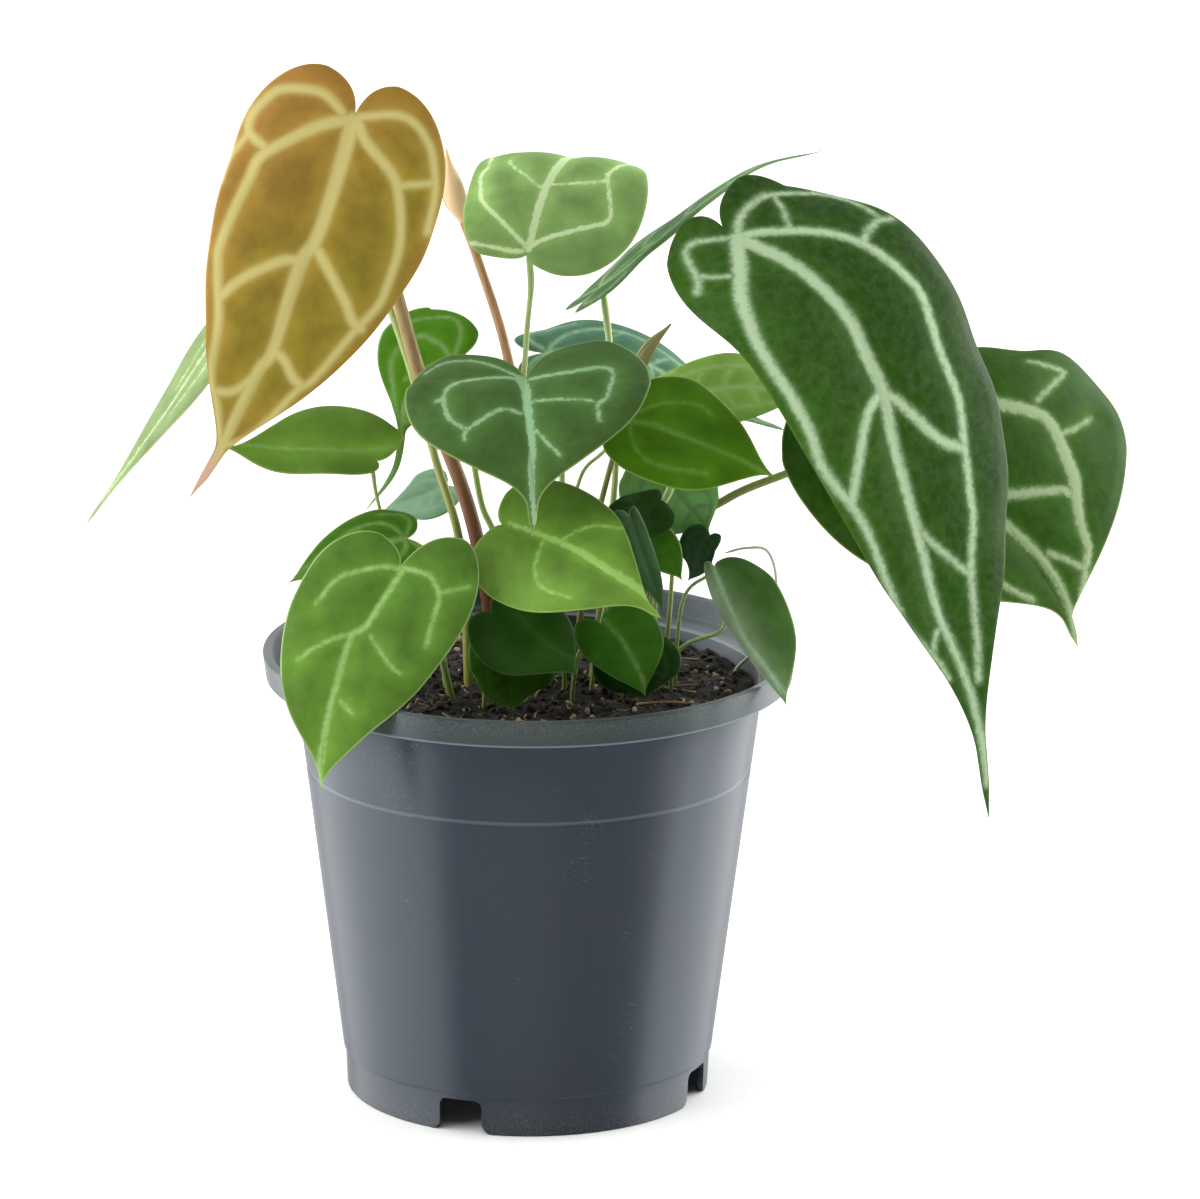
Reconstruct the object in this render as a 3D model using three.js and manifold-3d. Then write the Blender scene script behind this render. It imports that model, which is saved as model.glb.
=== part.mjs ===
// A potted crystal anthurium: a young aroid with thin heart-shaped leaves on slender stalks, grown
// in a plain 12 cm plastic nursery pot filled with a bark and peat mix.
//
// Millimetres, +Z up. The plant is laid out round the pot's axis, with z = 0 at the foot ring and
// -Y towards the front. The whole group is then shifted so that the middle of its bounding box
// stands over the origin.
//
// Every leaf is one solid, blade and stalk grown together. Its stalk stands in its own plain hole
// in the soil.
import * as THREE from "three";
import { mergeVertices } from "three/addons/utils/BufferGeometryUtils.js";
import Module from "manifold-3d";

const wasm = await Module();
wasm.setup();

// Pot: a tapered wall with a flared hollow lip, a fine groove and a notched foot ring
const POT_HEIGHT = 101;
const WALL = 1.2;
const LIP_RADIUS = 59.5;
const LIP_HEIGHT = 6;
const LIP_THICK = 2.2;
const LIP_LEAN = 0.8;
const EDGE = 0.6;
const NECK_RADIUS = 52.4;
const NECK_FILLET = 1.4;
const GROOVE_Z = 75;
const GROOVE_DEPTH = 0.35;
const GROOVE_HALF = 0.6;
const FOOT_HEIGHT = 8.8;
const FOOT_RADIUS = 41;
const FOOT_STEP = 0.5;
const FOOT_LEAN = 0.4;
const FLOOR_Z = 10.4;
const POT_SEGMENTS = 56;
const NOTCH_WIDTH = 10;
const NOTCH_HEIGHT = 7.8;
const NOTCH_ROUND = 2;
const NOTCH_FLARE = 3;
const NOTCH_TURN = -21;
const NOTCHES = 4;
const DRAIN_HOLES = 6;
const DRAIN_RADIUS = 3.5;
const DRAIN_RING = 27;

// Soil: fills the pot to a few millimetres under the lip, slightly heaped and lumpy
const GAP = 0.3;
const SOIL_Z = 92;
const SOIL_HEAP = 2;
const SOIL_LUMP = 0.7;
const SOIL_RINGS = 8;
const SOIL_SEGMENTS = 36;
const ROOT_Z = 84;

// Leaves: a blade is a thin sheet of one thickness, and a stalk a tapered round rod
const BLADE = 0.8;
const STALK_SIDES = 6;
const STALK_STEPS = 8;
const TOP_TAPER = 0.75;
const RIB_SWEEP = 0.55;
const SINUS_PINCH = 0.15;
const JOINT_LAP = 1.2;

const rad = THREE.MathUtils.degToRad;
const lerp = THREE.MathUtils.lerp;
const clamp = THREE.MathUtils.clamp;
const vec = (p) => new THREE.Vector3(...p);

// A closed solid for joining and cutting, from a geometry or from points and triangles
function solid(geometry) {
  const plain = geometry.clone();
  plain.deleteAttribute("normal");
  plain.deleteAttribute("uv");
  const merged = mergeVertices(plain, 1e-4);
  return new wasm.Manifold(new wasm.Mesh({
    numProp: 3,
    vertProperties: new Float32Array(merged.attributes.position.array),
    triVerts: new Uint32Array(merged.index.array),
  }));
}

function indexed(points, triangles) {
  const geometry = new THREE.BufferGeometry();
  geometry.setAttribute("position", new THREE.Float32BufferAttribute(points.flat(), 3));
  geometry.setIndex(triangles);
  return geometry;
}

function named(name, body, color, roughness) {
  const { vertProperties, triVerts } = body.getMesh();
  const geometry = new THREE.BufferGeometry();
  geometry.setAttribute("position", new THREE.BufferAttribute(Float32Array.from(vertProperties), 3));
  geometry.setIndex(new THREE.BufferAttribute(Uint32Array.from(triVerts), 1));
  geometry.computeVertexNormals();
  const material = new THREE.MeshStandardMaterial({ color, roughness, metalness: 0 });
  const mesh = new THREE.Mesh(geometry, material);
  mesh.name = name;
  return mesh;
}

// Outer radius of the pot's tapered wall at a height
function wallRadius(z) {
  const lipUnder = POT_HEIGHT - LIP_HEIGHT;
  const foot = FOOT_RADIUS + FOOT_STEP;
  return foot + (NECK_RADIUS - foot) * (z - FOOT_HEIGHT) / (lipUnder - FOOT_HEIGHT);
}

function pot() {
  const under = POT_HEIGHT - LIP_HEIGHT;
  const lipInside = LIP_RADIUS - LIP_THICK;
  const neckInside = NECK_RADIUS - WALL;
  const footInside = FOOT_RADIUS - WALL;
  const profile = [
    [0, FLOOR_Z - WALL],
    [footInside, FLOOR_Z - WALL],
    [footInside - FOOT_LEAN, 0],
    [FOOT_RADIUS - FOOT_LEAN, 0],
    [FOOT_RADIUS, FOOT_HEIGHT],
    [FOOT_RADIUS + FOOT_STEP, FOOT_HEIGHT + FOOT_STEP],
    [wallRadius(GROOVE_Z - GROOVE_HALF), GROOVE_Z - GROOVE_HALF],
    [wallRadius(GROOVE_Z) - GROOVE_DEPTH, GROOVE_Z],
    [wallRadius(GROOVE_Z + GROOVE_HALF), GROOVE_Z + GROOVE_HALF],
    [NECK_RADIUS, under - EDGE],
    [NECK_RADIUS + NECK_FILLET, under],
    [LIP_RADIUS - LIP_LEAN - EDGE, under],
    [LIP_RADIUS - LIP_LEAN, under + EDGE],
    [LIP_RADIUS, POT_HEIGHT - EDGE],
    [LIP_RADIUS - EDGE, POT_HEIGHT],
    [lipInside, POT_HEIGHT],
    [lipInside - EDGE, POT_HEIGHT - EDGE],
    [lipInside - EDGE - LIP_LEAN, under + WALL],
    [neckInside + LIP_LEAN, under + WALL],
    [neckInside, under - EDGE],
    [FOOT_RADIUS + FOOT_STEP - WALL, FLOOR_Z],
    [0, FLOOR_Z],
  ].map(([r, z]) => new THREE.Vector2(r, z));
  let body = solid(new THREE.LatheGeometry(profile, POT_SEGMENTS).rotateX(Math.PI / 2));
  for (let i = 0; i < NOTCHES; i += 1) {
    body = body.subtract(solid(notch(rad(NOTCH_TURN + (360 / NOTCHES) * i))));
  }
  for (let i = 0; i < DRAIN_HOLES; i += 1) {
    const turn = rad((360 / DRAIN_HOLES) * i);
    const hole = new THREE.CylinderGeometry(DRAIN_RADIUS, DRAIN_RADIUS, 4 * WALL, 12);
    hole.rotateX(Math.PI / 2);
    hole.translate(DRAIN_RING * Math.cos(turn), DRAIN_RING * Math.sin(turn), FLOOR_Z - WALL / 2);
    body = body.subtract(solid(hole));
  }
  return named("pot", body, 0x4a525d, 0.35);
}

// A drainage notch through the foot ring: rounded above, and flared where the ring's feet round off
function notch(turn) {
  const side = NOTCH_WIDTH / 2;
  const foot = side + NOTCH_FLARE;
  const shape = new THREE.Shape();
  shape.moveTo(-foot, -1);
  shape.lineTo(-foot, 0);
  shape.quadraticCurveTo(-side, 0, -side, NOTCH_FLARE);
  shape.lineTo(-side, NOTCH_HEIGHT - NOTCH_ROUND);
  shape.quadraticCurveTo(-side, NOTCH_HEIGHT, NOTCH_ROUND - side, NOTCH_HEIGHT);
  shape.lineTo(side - NOTCH_ROUND, NOTCH_HEIGHT);
  shape.quadraticCurveTo(side, NOTCH_HEIGHT, side, NOTCH_HEIGHT - NOTCH_ROUND);
  shape.lineTo(side, NOTCH_FLARE);
  shape.quadraticCurveTo(side, 0, foot, 0);
  shape.lineTo(foot, -1);
  const depth = 8 * WALL;
  const cutter = new THREE.ExtrudeGeometry(shape, { depth, bevelEnabled: false, curveSegments: 3 });
  cutter.rotateX(Math.PI / 2);
  cutter.translate(0, depth / 2 - FOOT_RADIUS, 0);
  cutter.rotateZ(turn);
  return cutter;
}

// Lumpy top of the soil, lower at the wall than in the middle
function soilHeight(x, y) {
  const r = Math.hypot(x, y) / NECK_RADIUS;
  const lumps = Math.sin(0.31 * x + 1.3) * Math.cos(0.27 * y) + 0.6 * Math.sin(0.53 * y - 0.38 * x);
  return SOIL_Z + SOIL_HEAP * (1 - r * r) + SOIL_LUMP * lumps * (1 - 0.5 * r);
}

function soilBody() {
  const topRadius = wallRadius(SOIL_Z) - WALL - 2 * GAP;
  const bottomZ = FLOOR_Z + GAP;
  const bottomRadius = wallRadius(FLOOR_Z) - WALL - 2 * GAP;
  const points = [[0, 0, soilHeight(0, 0)]];
  const triangles = [];
  const ringStart = (ring) => 1 + ring * SOIL_SEGMENTS;
  for (let ring = 0; ring < SOIL_RINGS; ring += 1) {
    const r = topRadius * (ring + 1) / SOIL_RINGS;
    for (let i = 0; i < SOIL_SEGMENTS; i += 1) {
      const turn = (2 * Math.PI * i) / SOIL_SEGMENTS;
      const x = r * Math.cos(turn);
      const y = r * Math.sin(turn);
      points.push([x, y, soilHeight(x, y)]);
    }
  }
  for (let i = 0; i < SOIL_SEGMENTS; i += 1) {
    const turn = (2 * Math.PI * i) / SOIL_SEGMENTS;
    points.push([bottomRadius * Math.cos(turn), bottomRadius * Math.sin(turn), bottomZ]);
  }
  points.push([0, 0, bottomZ]);
  for (let i = 0; i < SOIL_SEGMENTS; i += 1) {
    const next = (i + 1) % SOIL_SEGMENTS;
    triangles.push(0, ringStart(0) + i, ringStart(0) + next);
    for (let ring = 0; ring < SOIL_RINGS; ring += 1) {
      const a = ringStart(ring) + i;
      const b = ringStart(ring) + next;
      const c = ringStart(ring + 1) + i;
      const d = ringStart(ring + 1) + next;
      triangles.push(a, c, d, a, d, b);
    }
    triangles.push(points.length - 1, ringStart(SOIL_RINGS) + next, ringStart(SOIL_RINGS) + i);
  }
  return solid(indexed(points, triangles));
}

// A round tapered rod along a smooth curve through the given points
function rod(path, startRadius, endRadius, { steps = STALK_STEPS, extra = 0, from = 0 } = {}) {
  const curve = new THREE.CatmullRomCurve3(path.map(vec), false, "catmullrom", 0.5);
  const points = [];
  const triangles = [];
  let side = new THREE.Vector3(1, 0, 0);
  for (let i = 0; i <= steps; i += 1) {
    const u = i / steps;
    const centre = curve.getPointAt(u);
    const tangent = curve.getTangentAt(u);
    const across = new THREE.Vector3().crossVectors(tangent, side).normalize();
    side = new THREE.Vector3().crossVectors(across, tangent).normalize();
    if (i === 0) centre.addScaledVector(tangent, -from);
    const radius = lerp(startRadius, endRadius, u) + extra;
    for (let k = 0; k < STALK_SIDES; k += 1) {
      const turn = (2 * Math.PI * k) / STALK_SIDES;
      const p = centre.clone()
        .addScaledVector(side, radius * Math.cos(turn))
        .addScaledVector(across, radius * Math.sin(turn));
      points.push(p.toArray());
    }
  }
  const last = steps * STALK_SIDES;
  for (let k = 0; k < STALK_SIDES; k += 1) {
    const next = (k + 1) % STALK_SIDES;
    for (let i = 0; i < steps; i += 1) {
      const a = i * STALK_SIDES;
      const b = a + STALK_SIDES;
      triangles.push(a + k, b + next, b + k, a + k, a + next, b + next);
    }
    if (k > 0 && next > 0) {
      triangles.push(0, k + 1, k);
      triangles.push(last, last + k, last + k + 1);
    }
  }
  return solid(indexed(points, triangles));
}

// Evenly spaced points along a flat cubic curve, without its start
function spaced(controls, count) {
  const [a, b, c, d] = controls.map((p) => new THREE.Vector2(...p));
  return new THREE.CubicBezierCurve(a, b, c, d).getSpacedPoints(count).slice(1).map((p) => p.toArray());
}

// Margin of one half of a blade, laid flat: s runs along the midrib from the stalk's joint to the
// tip, and t out from the midrib. The points go from the drip tip past the widest place to the
// back of the basal lobe.
function margin(half, length, tail, tailWidth, counts) {
  const { width, lobe, widest, lobeOut, taper, shoulder } = half;
  const end = length - tail;
  const broad = widest * length;
  const foreHalf = [
    [end, tail ? tailWidth : 0],
    [end - taper * (end - broad), tail ? 1.3 * tailWidth : 0],
    [broad + shoulder * (end - broad), width],
    [broad, width],
  ];
  const backHalf = [
    [broad, width],
    [broad - 0.55 * (broad + lobe), width],
    [-lobe, width * (lobeOut + 0.5 * (1 - lobeOut))],
    [-lobe, lobeOut * width],
  ];
  const drip = tail ? [[length - tail / 2, 0.75 * tailWidth], foreHalf[0]] : [];
  return [...drip, ...spaced(foreHalf, counts.fore), ...spaced(backHalf, counts.back)];
}

// Places a flat (s, t) point of the blade in space: along the curved midrib, and out over a
// cross-section that first rises by the fold angle and then curls over towards the margin
function bladeSurface(spec) {
  const rib = new THREE.CatmullRomCurve3(spec.rib.map(vec), false, "catmullrom", 0.5);
  const length = rib.getLength();
  const face0 = vec(spec.face);
  const face1 = vec(spec.faceTip ?? spec.face);
  const chord = rib.getPoint(1).sub(rib.getPoint(0)).normalize();
  return {
    length,
    at(s, t, sign) {
      const u = clamp(s / length, 0, 1);
      const tangent = rib.getTangentAt(u).lerp(chord, spec.even).normalize();
      const centre = rib.getPointAt(u);
      const face = face0.clone().lerp(face1, u);
      const out = new THREE.Vector3().crossVectors(tangent, face).normalize();
      const up = new THREE.Vector3().crossVectors(out, tangent);
      const half = sign > 0 ? spec.left : spec.right;
      const fold = rad(spec.fold);
      const bend = rad(spec.curl) / half.width;
      const x = (Math.sin(fold) - Math.sin(fold - bend * t)) / bend;
      const z = (Math.cos(fold - bend * t) - Math.cos(fold)) / bend;
      return centre
        .addScaledVector(tangent, Math.min(s, 0))
        .addScaledVector(out, sign * x)
        .addScaledVector(up, z);
    },
  };
}

// The blade's mid-surface as points and triangles: ribs run from the midrib out to the margin
function bladeSheet(spec) {
  const surface = bladeSurface(spec);
  const { length } = surface;
  const { across } = spec.counts;
  const edges = [spec.left, spec.right].map((h) => margin(h, length, spec.tail, spec.tailWidth, spec.counts));
  const hubs = edges[0].map((left, i) => {
    const right = edges[1][i];
    const s = (left[0] + right[0]) / 2;
    const t = (left[1] + right[1]) / 2;
    return Math.max(0, s - RIB_SWEEP * t);
  });
  const points = [];
  const add = (s, t, sign) => points.push(surface.at(s, t, sign).toArray()) - 1;
  const tip = add(length, 0, 1);
  const hubIds = [];
  hubs.forEach((s, i) => {
    hubIds.push(i > 0 && s === 0 && hubs[i - 1] === 0 ? hubIds[i - 1] : add(s, 0, 1));
  });
  const triangles = [];
  const tri = (sign, a, b, c) => {
    if (a === b || b === c || a === c) return;
    if (sign > 0) triangles.push(a, b, c);
    else triangles.push(a, c, b);
  };
  const border = [];
  edges.forEach((edge, which) => {
    const sign = which === 0 ? 1 : -1;
    const half = which === 0 ? spec.left : spec.right;
    const firstFan = hubs.findIndex((s) => s === 0);
    const rows = edge.map(([s, t], i) => {
      const fan = clamp((i - firstFan) / (edge.length - 1 - firstFan), 0, 1) ** 2;
      const straight = [(hubs[i] + s) / 2, t / 2];
      const sinus = [-0.85 * half.lobe, SINUS_PINCH * half.lobeOut * half.width];
      const control = [lerp(straight[0], sinus[0], fan), lerp(straight[1], sinus[1], fan)];
      const row = [hubIds[i]];
      for (let j = 1; j <= across; j += 1) {
        const v = j / across;
        const u = 1 - v;
        const point = [
          u * u * hubs[i] + 2 * u * v * control[0] + v * v * s,
          2 * u * v * control[1] + v * v * t,
        ];
        row.push(add(...point, sign));
      }
      return row;
    });
    for (let j = 0; j < across; j += 1) tri(sign, tip, rows[0][j + 1], rows[0][j]);
    for (let i = 0; i + 1 < rows.length; i += 1) {
      for (let j = 0; j < across; j += 1) {
        tri(sign, rows[i][j], rows[i][j + 1], rows[i + 1][j + 1]);
        tri(sign, rows[i][j], rows[i + 1][j + 1], rows[i + 1][j]);
      }
    }
    const outline = rows.map((row) => row[across]);
    const sinusEdge = rows.at(-1).slice(0, across).reverse();
    border.push(sign > 0 ? [...outline, ...sinusEdge] : [...outline, ...sinusEdge.slice(0, -1)]);
  });
  return { points, triangles, border: [tip, ...border[0], ...border[1].reverse()], surface };
}

// The sheet thickened to both sides along its normals, with the same diagonals on both faces
function blade(spec) {
  const { points, triangles, border, surface } = bladeSheet(spec);
  const sheet = indexed(points, triangles);
  sheet.computeVertexNormals();
  const normals = sheet.attributes.normal;
  const offset = (side) => points.map((p, i) => [
    p[0] + side * normals.getX(i),
    p[1] + side * normals.getY(i),
    p[2] + side * normals.getZ(i),
  ]);
  const all = [...offset(BLADE / 2), ...offset(-BLADE / 2)];
  const n = points.length;
  const faces = [...triangles];
  for (let i = 0; i < triangles.length; i += 3) {
    faces.push(n + triangles[i], n + triangles[i + 2], n + triangles[i + 1]);
  }
  border.forEach((a, i) => {
    const b = border[(i + 1) % border.length];
    faces.push(b, a, n + a, b, n + a, n + b);
  });
  return { body: solid(indexed(all, faces)), surface };
}

const FINE = { fore: 9, back: 6, across: 4 };
const MEDIUM = { fore: 7, back: 4, across: 3 };
const SMALL = { fore: 5, back: 3, across: 2 };

const half = (width, lobe, widest, lobeOut, taper, shoulder) => ({ width, lobe, widest, lobeOut, taper, shoulder });

// Each leaf's midrib runs from the stalk's joint to the tip. Its face is the way the upper side
// looks. A half is (width, lobe length, widest place as a share of the length, how far out the
// lobe's back lies as a share of the width, tip taper, shoulder). The stalk runs from its root.
const LEAVES = [
  {
    name: "leaf_bronze", color: 0xa5812e, counts: FINE, tail: 12, tailWidth: 1.2, fold: 10, curl: 35,
    rib: [[-38, -24, 228], [-46, -29, 204], [-55, -33, 179], [-67, -37, 156], [-74, -38, 145]],
    face: [0.1, -1, 0.3],
    left: half(23.5, 8, 0.14, 0.38, 0.12, 0.74), right: half(25, 8.5, 0.18, 0.28, 0.13, 0.45),
    root: [-6, -2], stalk: [[-9, -4, 113], [-14, -4, 136], [-23, -3, 160], [-29, -6, 182], [-35, -12, 208]],
    radius: 1.8,
  },
  {
    name: "leaf_pale_back", color: 0x6fa04c, counts: MEDIUM, fold: 8, curl: 35,
    rib: [[-1, -4, 192], [3, 3, 201], [8, 16, 209], [12, 34, 201], [14, 44, 188]],
    face: [0, -0.75, 0.7], faceTip: [0, 0.6, 0.8],
    left: half(21.5, 2.5, 0.24, 0.3, 0.26, 0.4), right: half(20, 3, 0.3, 0.45, 0.36, 0.45),
    root: [0, 11], stalk: [[-2, 12, 142], [-1, 8, 170], [0, 1, 184]], radius: 0.8,
  },
  {
    name: "leaf_far_left", color: 0x8fb45c, counts: MEDIUM, tail: 6, tailWidth: 0.7, fold: 8, curl: 20,
    rib: [[-44, 18, 199], [-64, 16, 177], [-81, 12, 152], [-99, 8, 127]],
    face: [-0.6, -0.35, 0.45],
    left: half(8, 5, 0.25, 0.5, 0.2, 0.6), right: half(13, 6, 0.23, 0.5, 0.2, 0.4),
    root: [-13, -8], stalk: [[-15, -4, 123], [-21, 2, 144], [-27, 6, 165], [-34, 12, 182]], radius: 1.1,
  },
  {
    name: "leaf_rising", color: 0x4c6f3f, counts: MEDIUM, tail: 8, tailWidth: 0.7, fold: 10, curl: 25,
    rib: [[15, 18, 179], [29, 20, 191], [49, 20, 206], [64, 22, 210]],
    face: [-0.25, 0.1, 1],
    left: half(12, 7, 0.3, 0.5, 0.2, 0.6), right: half(16, 9, 0.2, 0.46, 0.27, 0.35),
    root: [13, 2], stalk: [[17, 4, 121], [19, 8, 141], [18, 13, 162]], radius: 0.9,
  },
  {
    name: "leaf_centre", color: 0x3d6a3e, counts: FINE, tail: 6, tailWidth: 1.2, fold: 14, curl: 30,
    rib: [[-1, -16, 167], [-1, -25, 163], [1, -39, 152], [1, -46, 146], [1, -50, 141]],
    face: [-0.1, -0.75, 0.7],
    left: half(26.5, 9.5, 0.12, 0.61, 0.2, 0.45), right: half(28, 10.5, 0.11, 0.57, 0.37, 0.7),
    root: [1, -6], stalk: [[-3, -6, 123], [-2, -8, 151]], radius: 1,
  },
  {
    name: "leaf_great", color: 0x2f5a20, counts: FINE, tail: 16, tailWidth: 1.3, fold: 14, curl: 45,
    rib: [[42, -14, 201], [69, -25, 184], [88, -38, 127], [97, -48, 103], [101, -50, 77]],
    face: [0.4, -1, 0.4], even: 0.6,
    left: half(25.5, 5.5, 0.19, 0.22, 0.13, 0.25), right: half(29.5, 7, 0.4, 0.31, 0.29, 0.48),
    root: [16, 13], stalk: [[28, 15, 118], [39, 18, 143], [49, 17, 165], [52, 8, 183], [49, -4, 195]],
    radius: 1.4,
  },
  {
    name: "leaf_far_right", color: 0x4d7d22, counts: FINE, tail: 6, tailWidth: 1.2, fold: 10, curl: 35,
    rib: [[83, 10, 160], [91, 3, 152], [107, -3, 129], [118, -5, 113], [122, -6, 104]],
    face: [0.46, -0.9, 0.47],
    left: half(37.8, 9, 0.15, 0.54, 0.22, 0.62), right: half(44, 0.8, 0.39, 0.21, 0.16, 0.73),
    root: [20, 3], stalk: [[27, 9, 120], [44, 11, 133], [60, 12, 140], [74, 12, 149]], radius: 1.1,
  },
  {
    name: "leaf_mid_right", color: 0x3f7014, counts: MEDIUM, fold: 8, curl: 25,
    rib: [[22, -8, 155], [33, -12, 153], [45, -14, 150], [55, -14, 144]],
    face: [0, -0.8, 0.65],
    left: half(12, 4, 0.32, 0.5, 0.29, 0.7), right: half(15, 3, 0.24, 0.35, 0.36, 0.44),
    root: [8, -8], stalk: [[8, -10, 124], [11, -8, 142], [16, -7, 148]], radius: 0.55,
  },
  {
    name: "leaf_lime_right", color: 0x7fa84a, counts: MEDIUM, fold: 8, curl: 25,
    rib: [[30, 6, 156], [40, 6, 159], [49, 6, 160], [61, 6, 158]],
    face: [0, -0.8, 0.7],
    left: half(9, 3, 0.38, 0.5, 0.16, 0.7), right: half(9, 3.5, 0.38, 0.52, 0.35, 0.6),
    root: [18, -5], stalk: [[25, -3, 126], [31, -1, 138], [33, 4, 148]], radius: 1.1,
  },
  {
    name: "leaf_arched", color: 0x55806a, counts: MEDIUM, tail: 4, tailWidth: 0.8, fold: 6, curl: 30,
    rib: [[3, 32, 161], [21, 32, 161], [40, 30, 150], [57, 26, 145]],
    face: [0.4, -0.5, 1],
    left: half(10, 6, 0.19, 0.5, 0.4, 0.5), right: half(12, 7, 0.2, 0.36, 0.22, 0.7),
    root: [4, 16], stalk: [[7, 24, 134]], radius: 0.9,
  },
  {
    name: "leaf_front_left", color: 0x4a7a26, counts: FINE, fold: 8, curl: 22,
    rib: [[-28, -34, 129], [-37, -42, 115], [-43, -50, 101], [-45, -56, 84]],
    face: [-0.15, -0.85, 0.5],
    left: half(18, 4.5, 0.19, 0.4, 0.28, 0.6), right: half(19.5, 12, 0.12, 0.48, 0.19, 0.74),
    root: [-15, -13], stalk: [[-22, -18, 115], [-26, -28, 125]], radius: 0.9,
  },
  {
    name: "leaf_front_left_rear", color: 0x45761c, counts: SMALL, fold: 8, curl: 25,
    rib: [[-27, -14, 130], [-35, -18, 129], [-44, -24, 126], [-53, -30, 124]],
    face: [-0.15, -0.6, 0.7],
    left: half(10, 4.5, 0.14, 0.46, 0.15, 0.6), right: half(9, 2, 0.25, 0.6, 0.36, 0.5),
    root: [-18, -4], stalk: [[-20, -6, 115], [-23, -10, 126]], radius: 0.7,
  },
  {
    name: "leaf_lime_front", color: 0x659330, counts: MEDIUM, tail: 3, tailWidth: 0.9, fold: 8, curl: 25,
    rib: [[-6, -24, 136], [5, -30, 132], [18, -38, 127], [29, -42, 120]],
    face: [0, -0.75, 0.7],
    left: half(16.5, 2, 0.21, 0.4, 0.26, 0.66), right: half(17.5, 3.5, 0.26, 0.39, 0.16, 0.41),
    root: [-4, -13], stalk: [[-6, -14, 116], [-7, -18, 130]], radius: 0.8,
  },
  {
    name: "leaf_low_left", color: 0x27491c, counts: SMALL, fold: 6, curl: 20,
    rib: [[-8, -28, 117], [-2, -30, 112], [4, -32, 109], [11, -33, 104]],
    face: [0, -0.7, 0.75],
    left: half(10, 2.5, 0.28, 0.4, 0.26, 0.5), right: half(12, 3, 0.36, 0.5, 0.16, 0.7),
    root: [-10, -20], stalk: [[-9, -22, 111]], radius: 0.6,
  },
  {
    name: "leaf_low_left_under", color: 0x33571c, counts: SMALL, fold: 6, curl: 25,
    rib: [[-5, -24, 109], [-4, -26, 104], [-4, -28, 99], [-3, -30, 95]],
    face: [0, -0.8, 0.6],
    left: half(9, 3.5, 0.25, 0.6, 0.18, 0.7), right: half(10.5, 3, 0.24, 0.5, 0.15, 0.7),
    root: [-3, -19], stalk: [[-4, -19, 102]], radius: 0.6,
  },
  {
    name: "leaf_low_centre", color: 0x32621c, counts: SMALL, fold: 10, curl: 20,
    rib: [[16, -22, 113], [20, -25, 109], [23, -27, 104], [26, -28, 98]],
    face: [0, -0.75, 0.65],
    left: half(8, 3.5, 0.2, 0.46, 0.18, 0.47), right: half(10, 1.5, 0.29, 0.3, 0.26, 0.66),
    root: [9, -16], stalk: [[11, -19, 105]], radius: 0.6,
  },
  {
    name: "leaf_low_centre_under", color: 0x223d1a, counts: SMALL, fold: 6, curl: 20,
    rib: [[23, -15, 106], [24, -17, 102], [25, -19, 98], [26, -20, 95]],
    face: [0.1, -0.7, 0.7],
    left: half(10, 3, 0.36, 0.54, 0.3, 0.7), right: half(10.5, 2, 0.34, 0.35, 0.2, 0.7),
    root: [20, -10], stalk: [[21, -12, 100]], radius: 0.6,
  },
  {
    name: "leaf_folded_rim", color: 0x557f55, counts: MEDIUM, fold: -25, curl: 10,
    rib: [[41, -10, 123], [45, -18, 118], [52, -27, 109], [57, -32, 97]],
    face: [-0.1, -0.9, 0.25],
    left: half(5.5, 3, 0.38, 0.26, 0.15, 0.7), right: half(11, 1.5, 0.26, 0.27, 0.16, 0.62),
    root: [31, -9], stalk: [[33, -10, 103], [43, -11, 109], [42, -11, 118]], radius: 0.55,
  },
  {
    name: "leaf_round", color: 0x5c8350, counts: SMALL, fold: 6, curl: 20,
    rib: [[31, 7, 142], [33, 5, 136], [37, 4, 131], [40, 3, 127]],
    face: [0.1, -0.8, 0.5],
    left: half(13, 3, 0.31, 0.5, 0.2, 0.6), right: half(10, 3, 0.35, 0.5, 0.2, 0.65),
    root: [28, 5], stalk: [[31, 5, 105], [32, 7, 124], [32, 8, 135]], radius: 0.6,
  },
  {
    name: "leaf_dark_small", color: 0x24401c, counts: SMALL, fold: 6, curl: 15,
    rib: [[29, -6, 137], [25, -8, 136], [21, -10, 136], [16, -11, 136]],
    face: [0, -0.7, 0.7],
    left: half(4, 1, 0.35, 0.57, 0.2, 0.65), right: half(8, 1, 0.3, 0.5, 0.3, 0.6),
    root: [24, -2], stalk: [[28, -4, 124]], radius: 0.55,
  },
  {
    name: "leaf_inner_small", color: 0x3a6a18, counts: SMALL, fold: 6, curl: 15,
    rib: [[24, -8, 131], [28, -10, 128], [31, -11, 124], [34, -12, 120]],
    face: [0, -0.75, 0.6],
    left: half(4, 1, 0.36, 0.5, 0.3, 0.7), right: half(5, 1, 0.34, 0.5, 0.2, 0.65),
    root: [26, -7], stalk: [[28, -9, 114], [26, -9, 124]], radius: 0.55,
  },
  {
    name: "leaf_dark_narrow", color: 0x2a4e28, counts: SMALL, fold: 6, curl: 15,
    rib: [[22, -16, 136], [24, -18, 130], [27, -19, 122], [30, -20, 114]],
    face: [0.5, -0.6, 0.5],
    left: half(6, 2, 0.25, 0.5, 0.36, 0.5), right: half(4, 2, 0.35, 0.45, 0.2, 0.65),
    root: [13, -11], stalk: [[15, -10, 104], [19, -12, 122]], radius: 0.55,
  },
  {
    name: "leaf_dark_right", color: 0x1f3a26, counts: SMALL, fold: 8, curl: 15,
    rib: [[40, -2, 128], [38, -4, 126], [37, -5, 122], [35, -5, 118]],
    face: [0, -0.8, 0.6],
    left: half(5, 1, 0.24, 0.55, 0.36, 0.45), right: half(3.5, 1.5, 0.34, 0.5, 0.2, 0.65),
    root: [32, 0], stalk: [[34, -1, 112], [40, 0, 119]], radius: 0.5,
  },
  {
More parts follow.
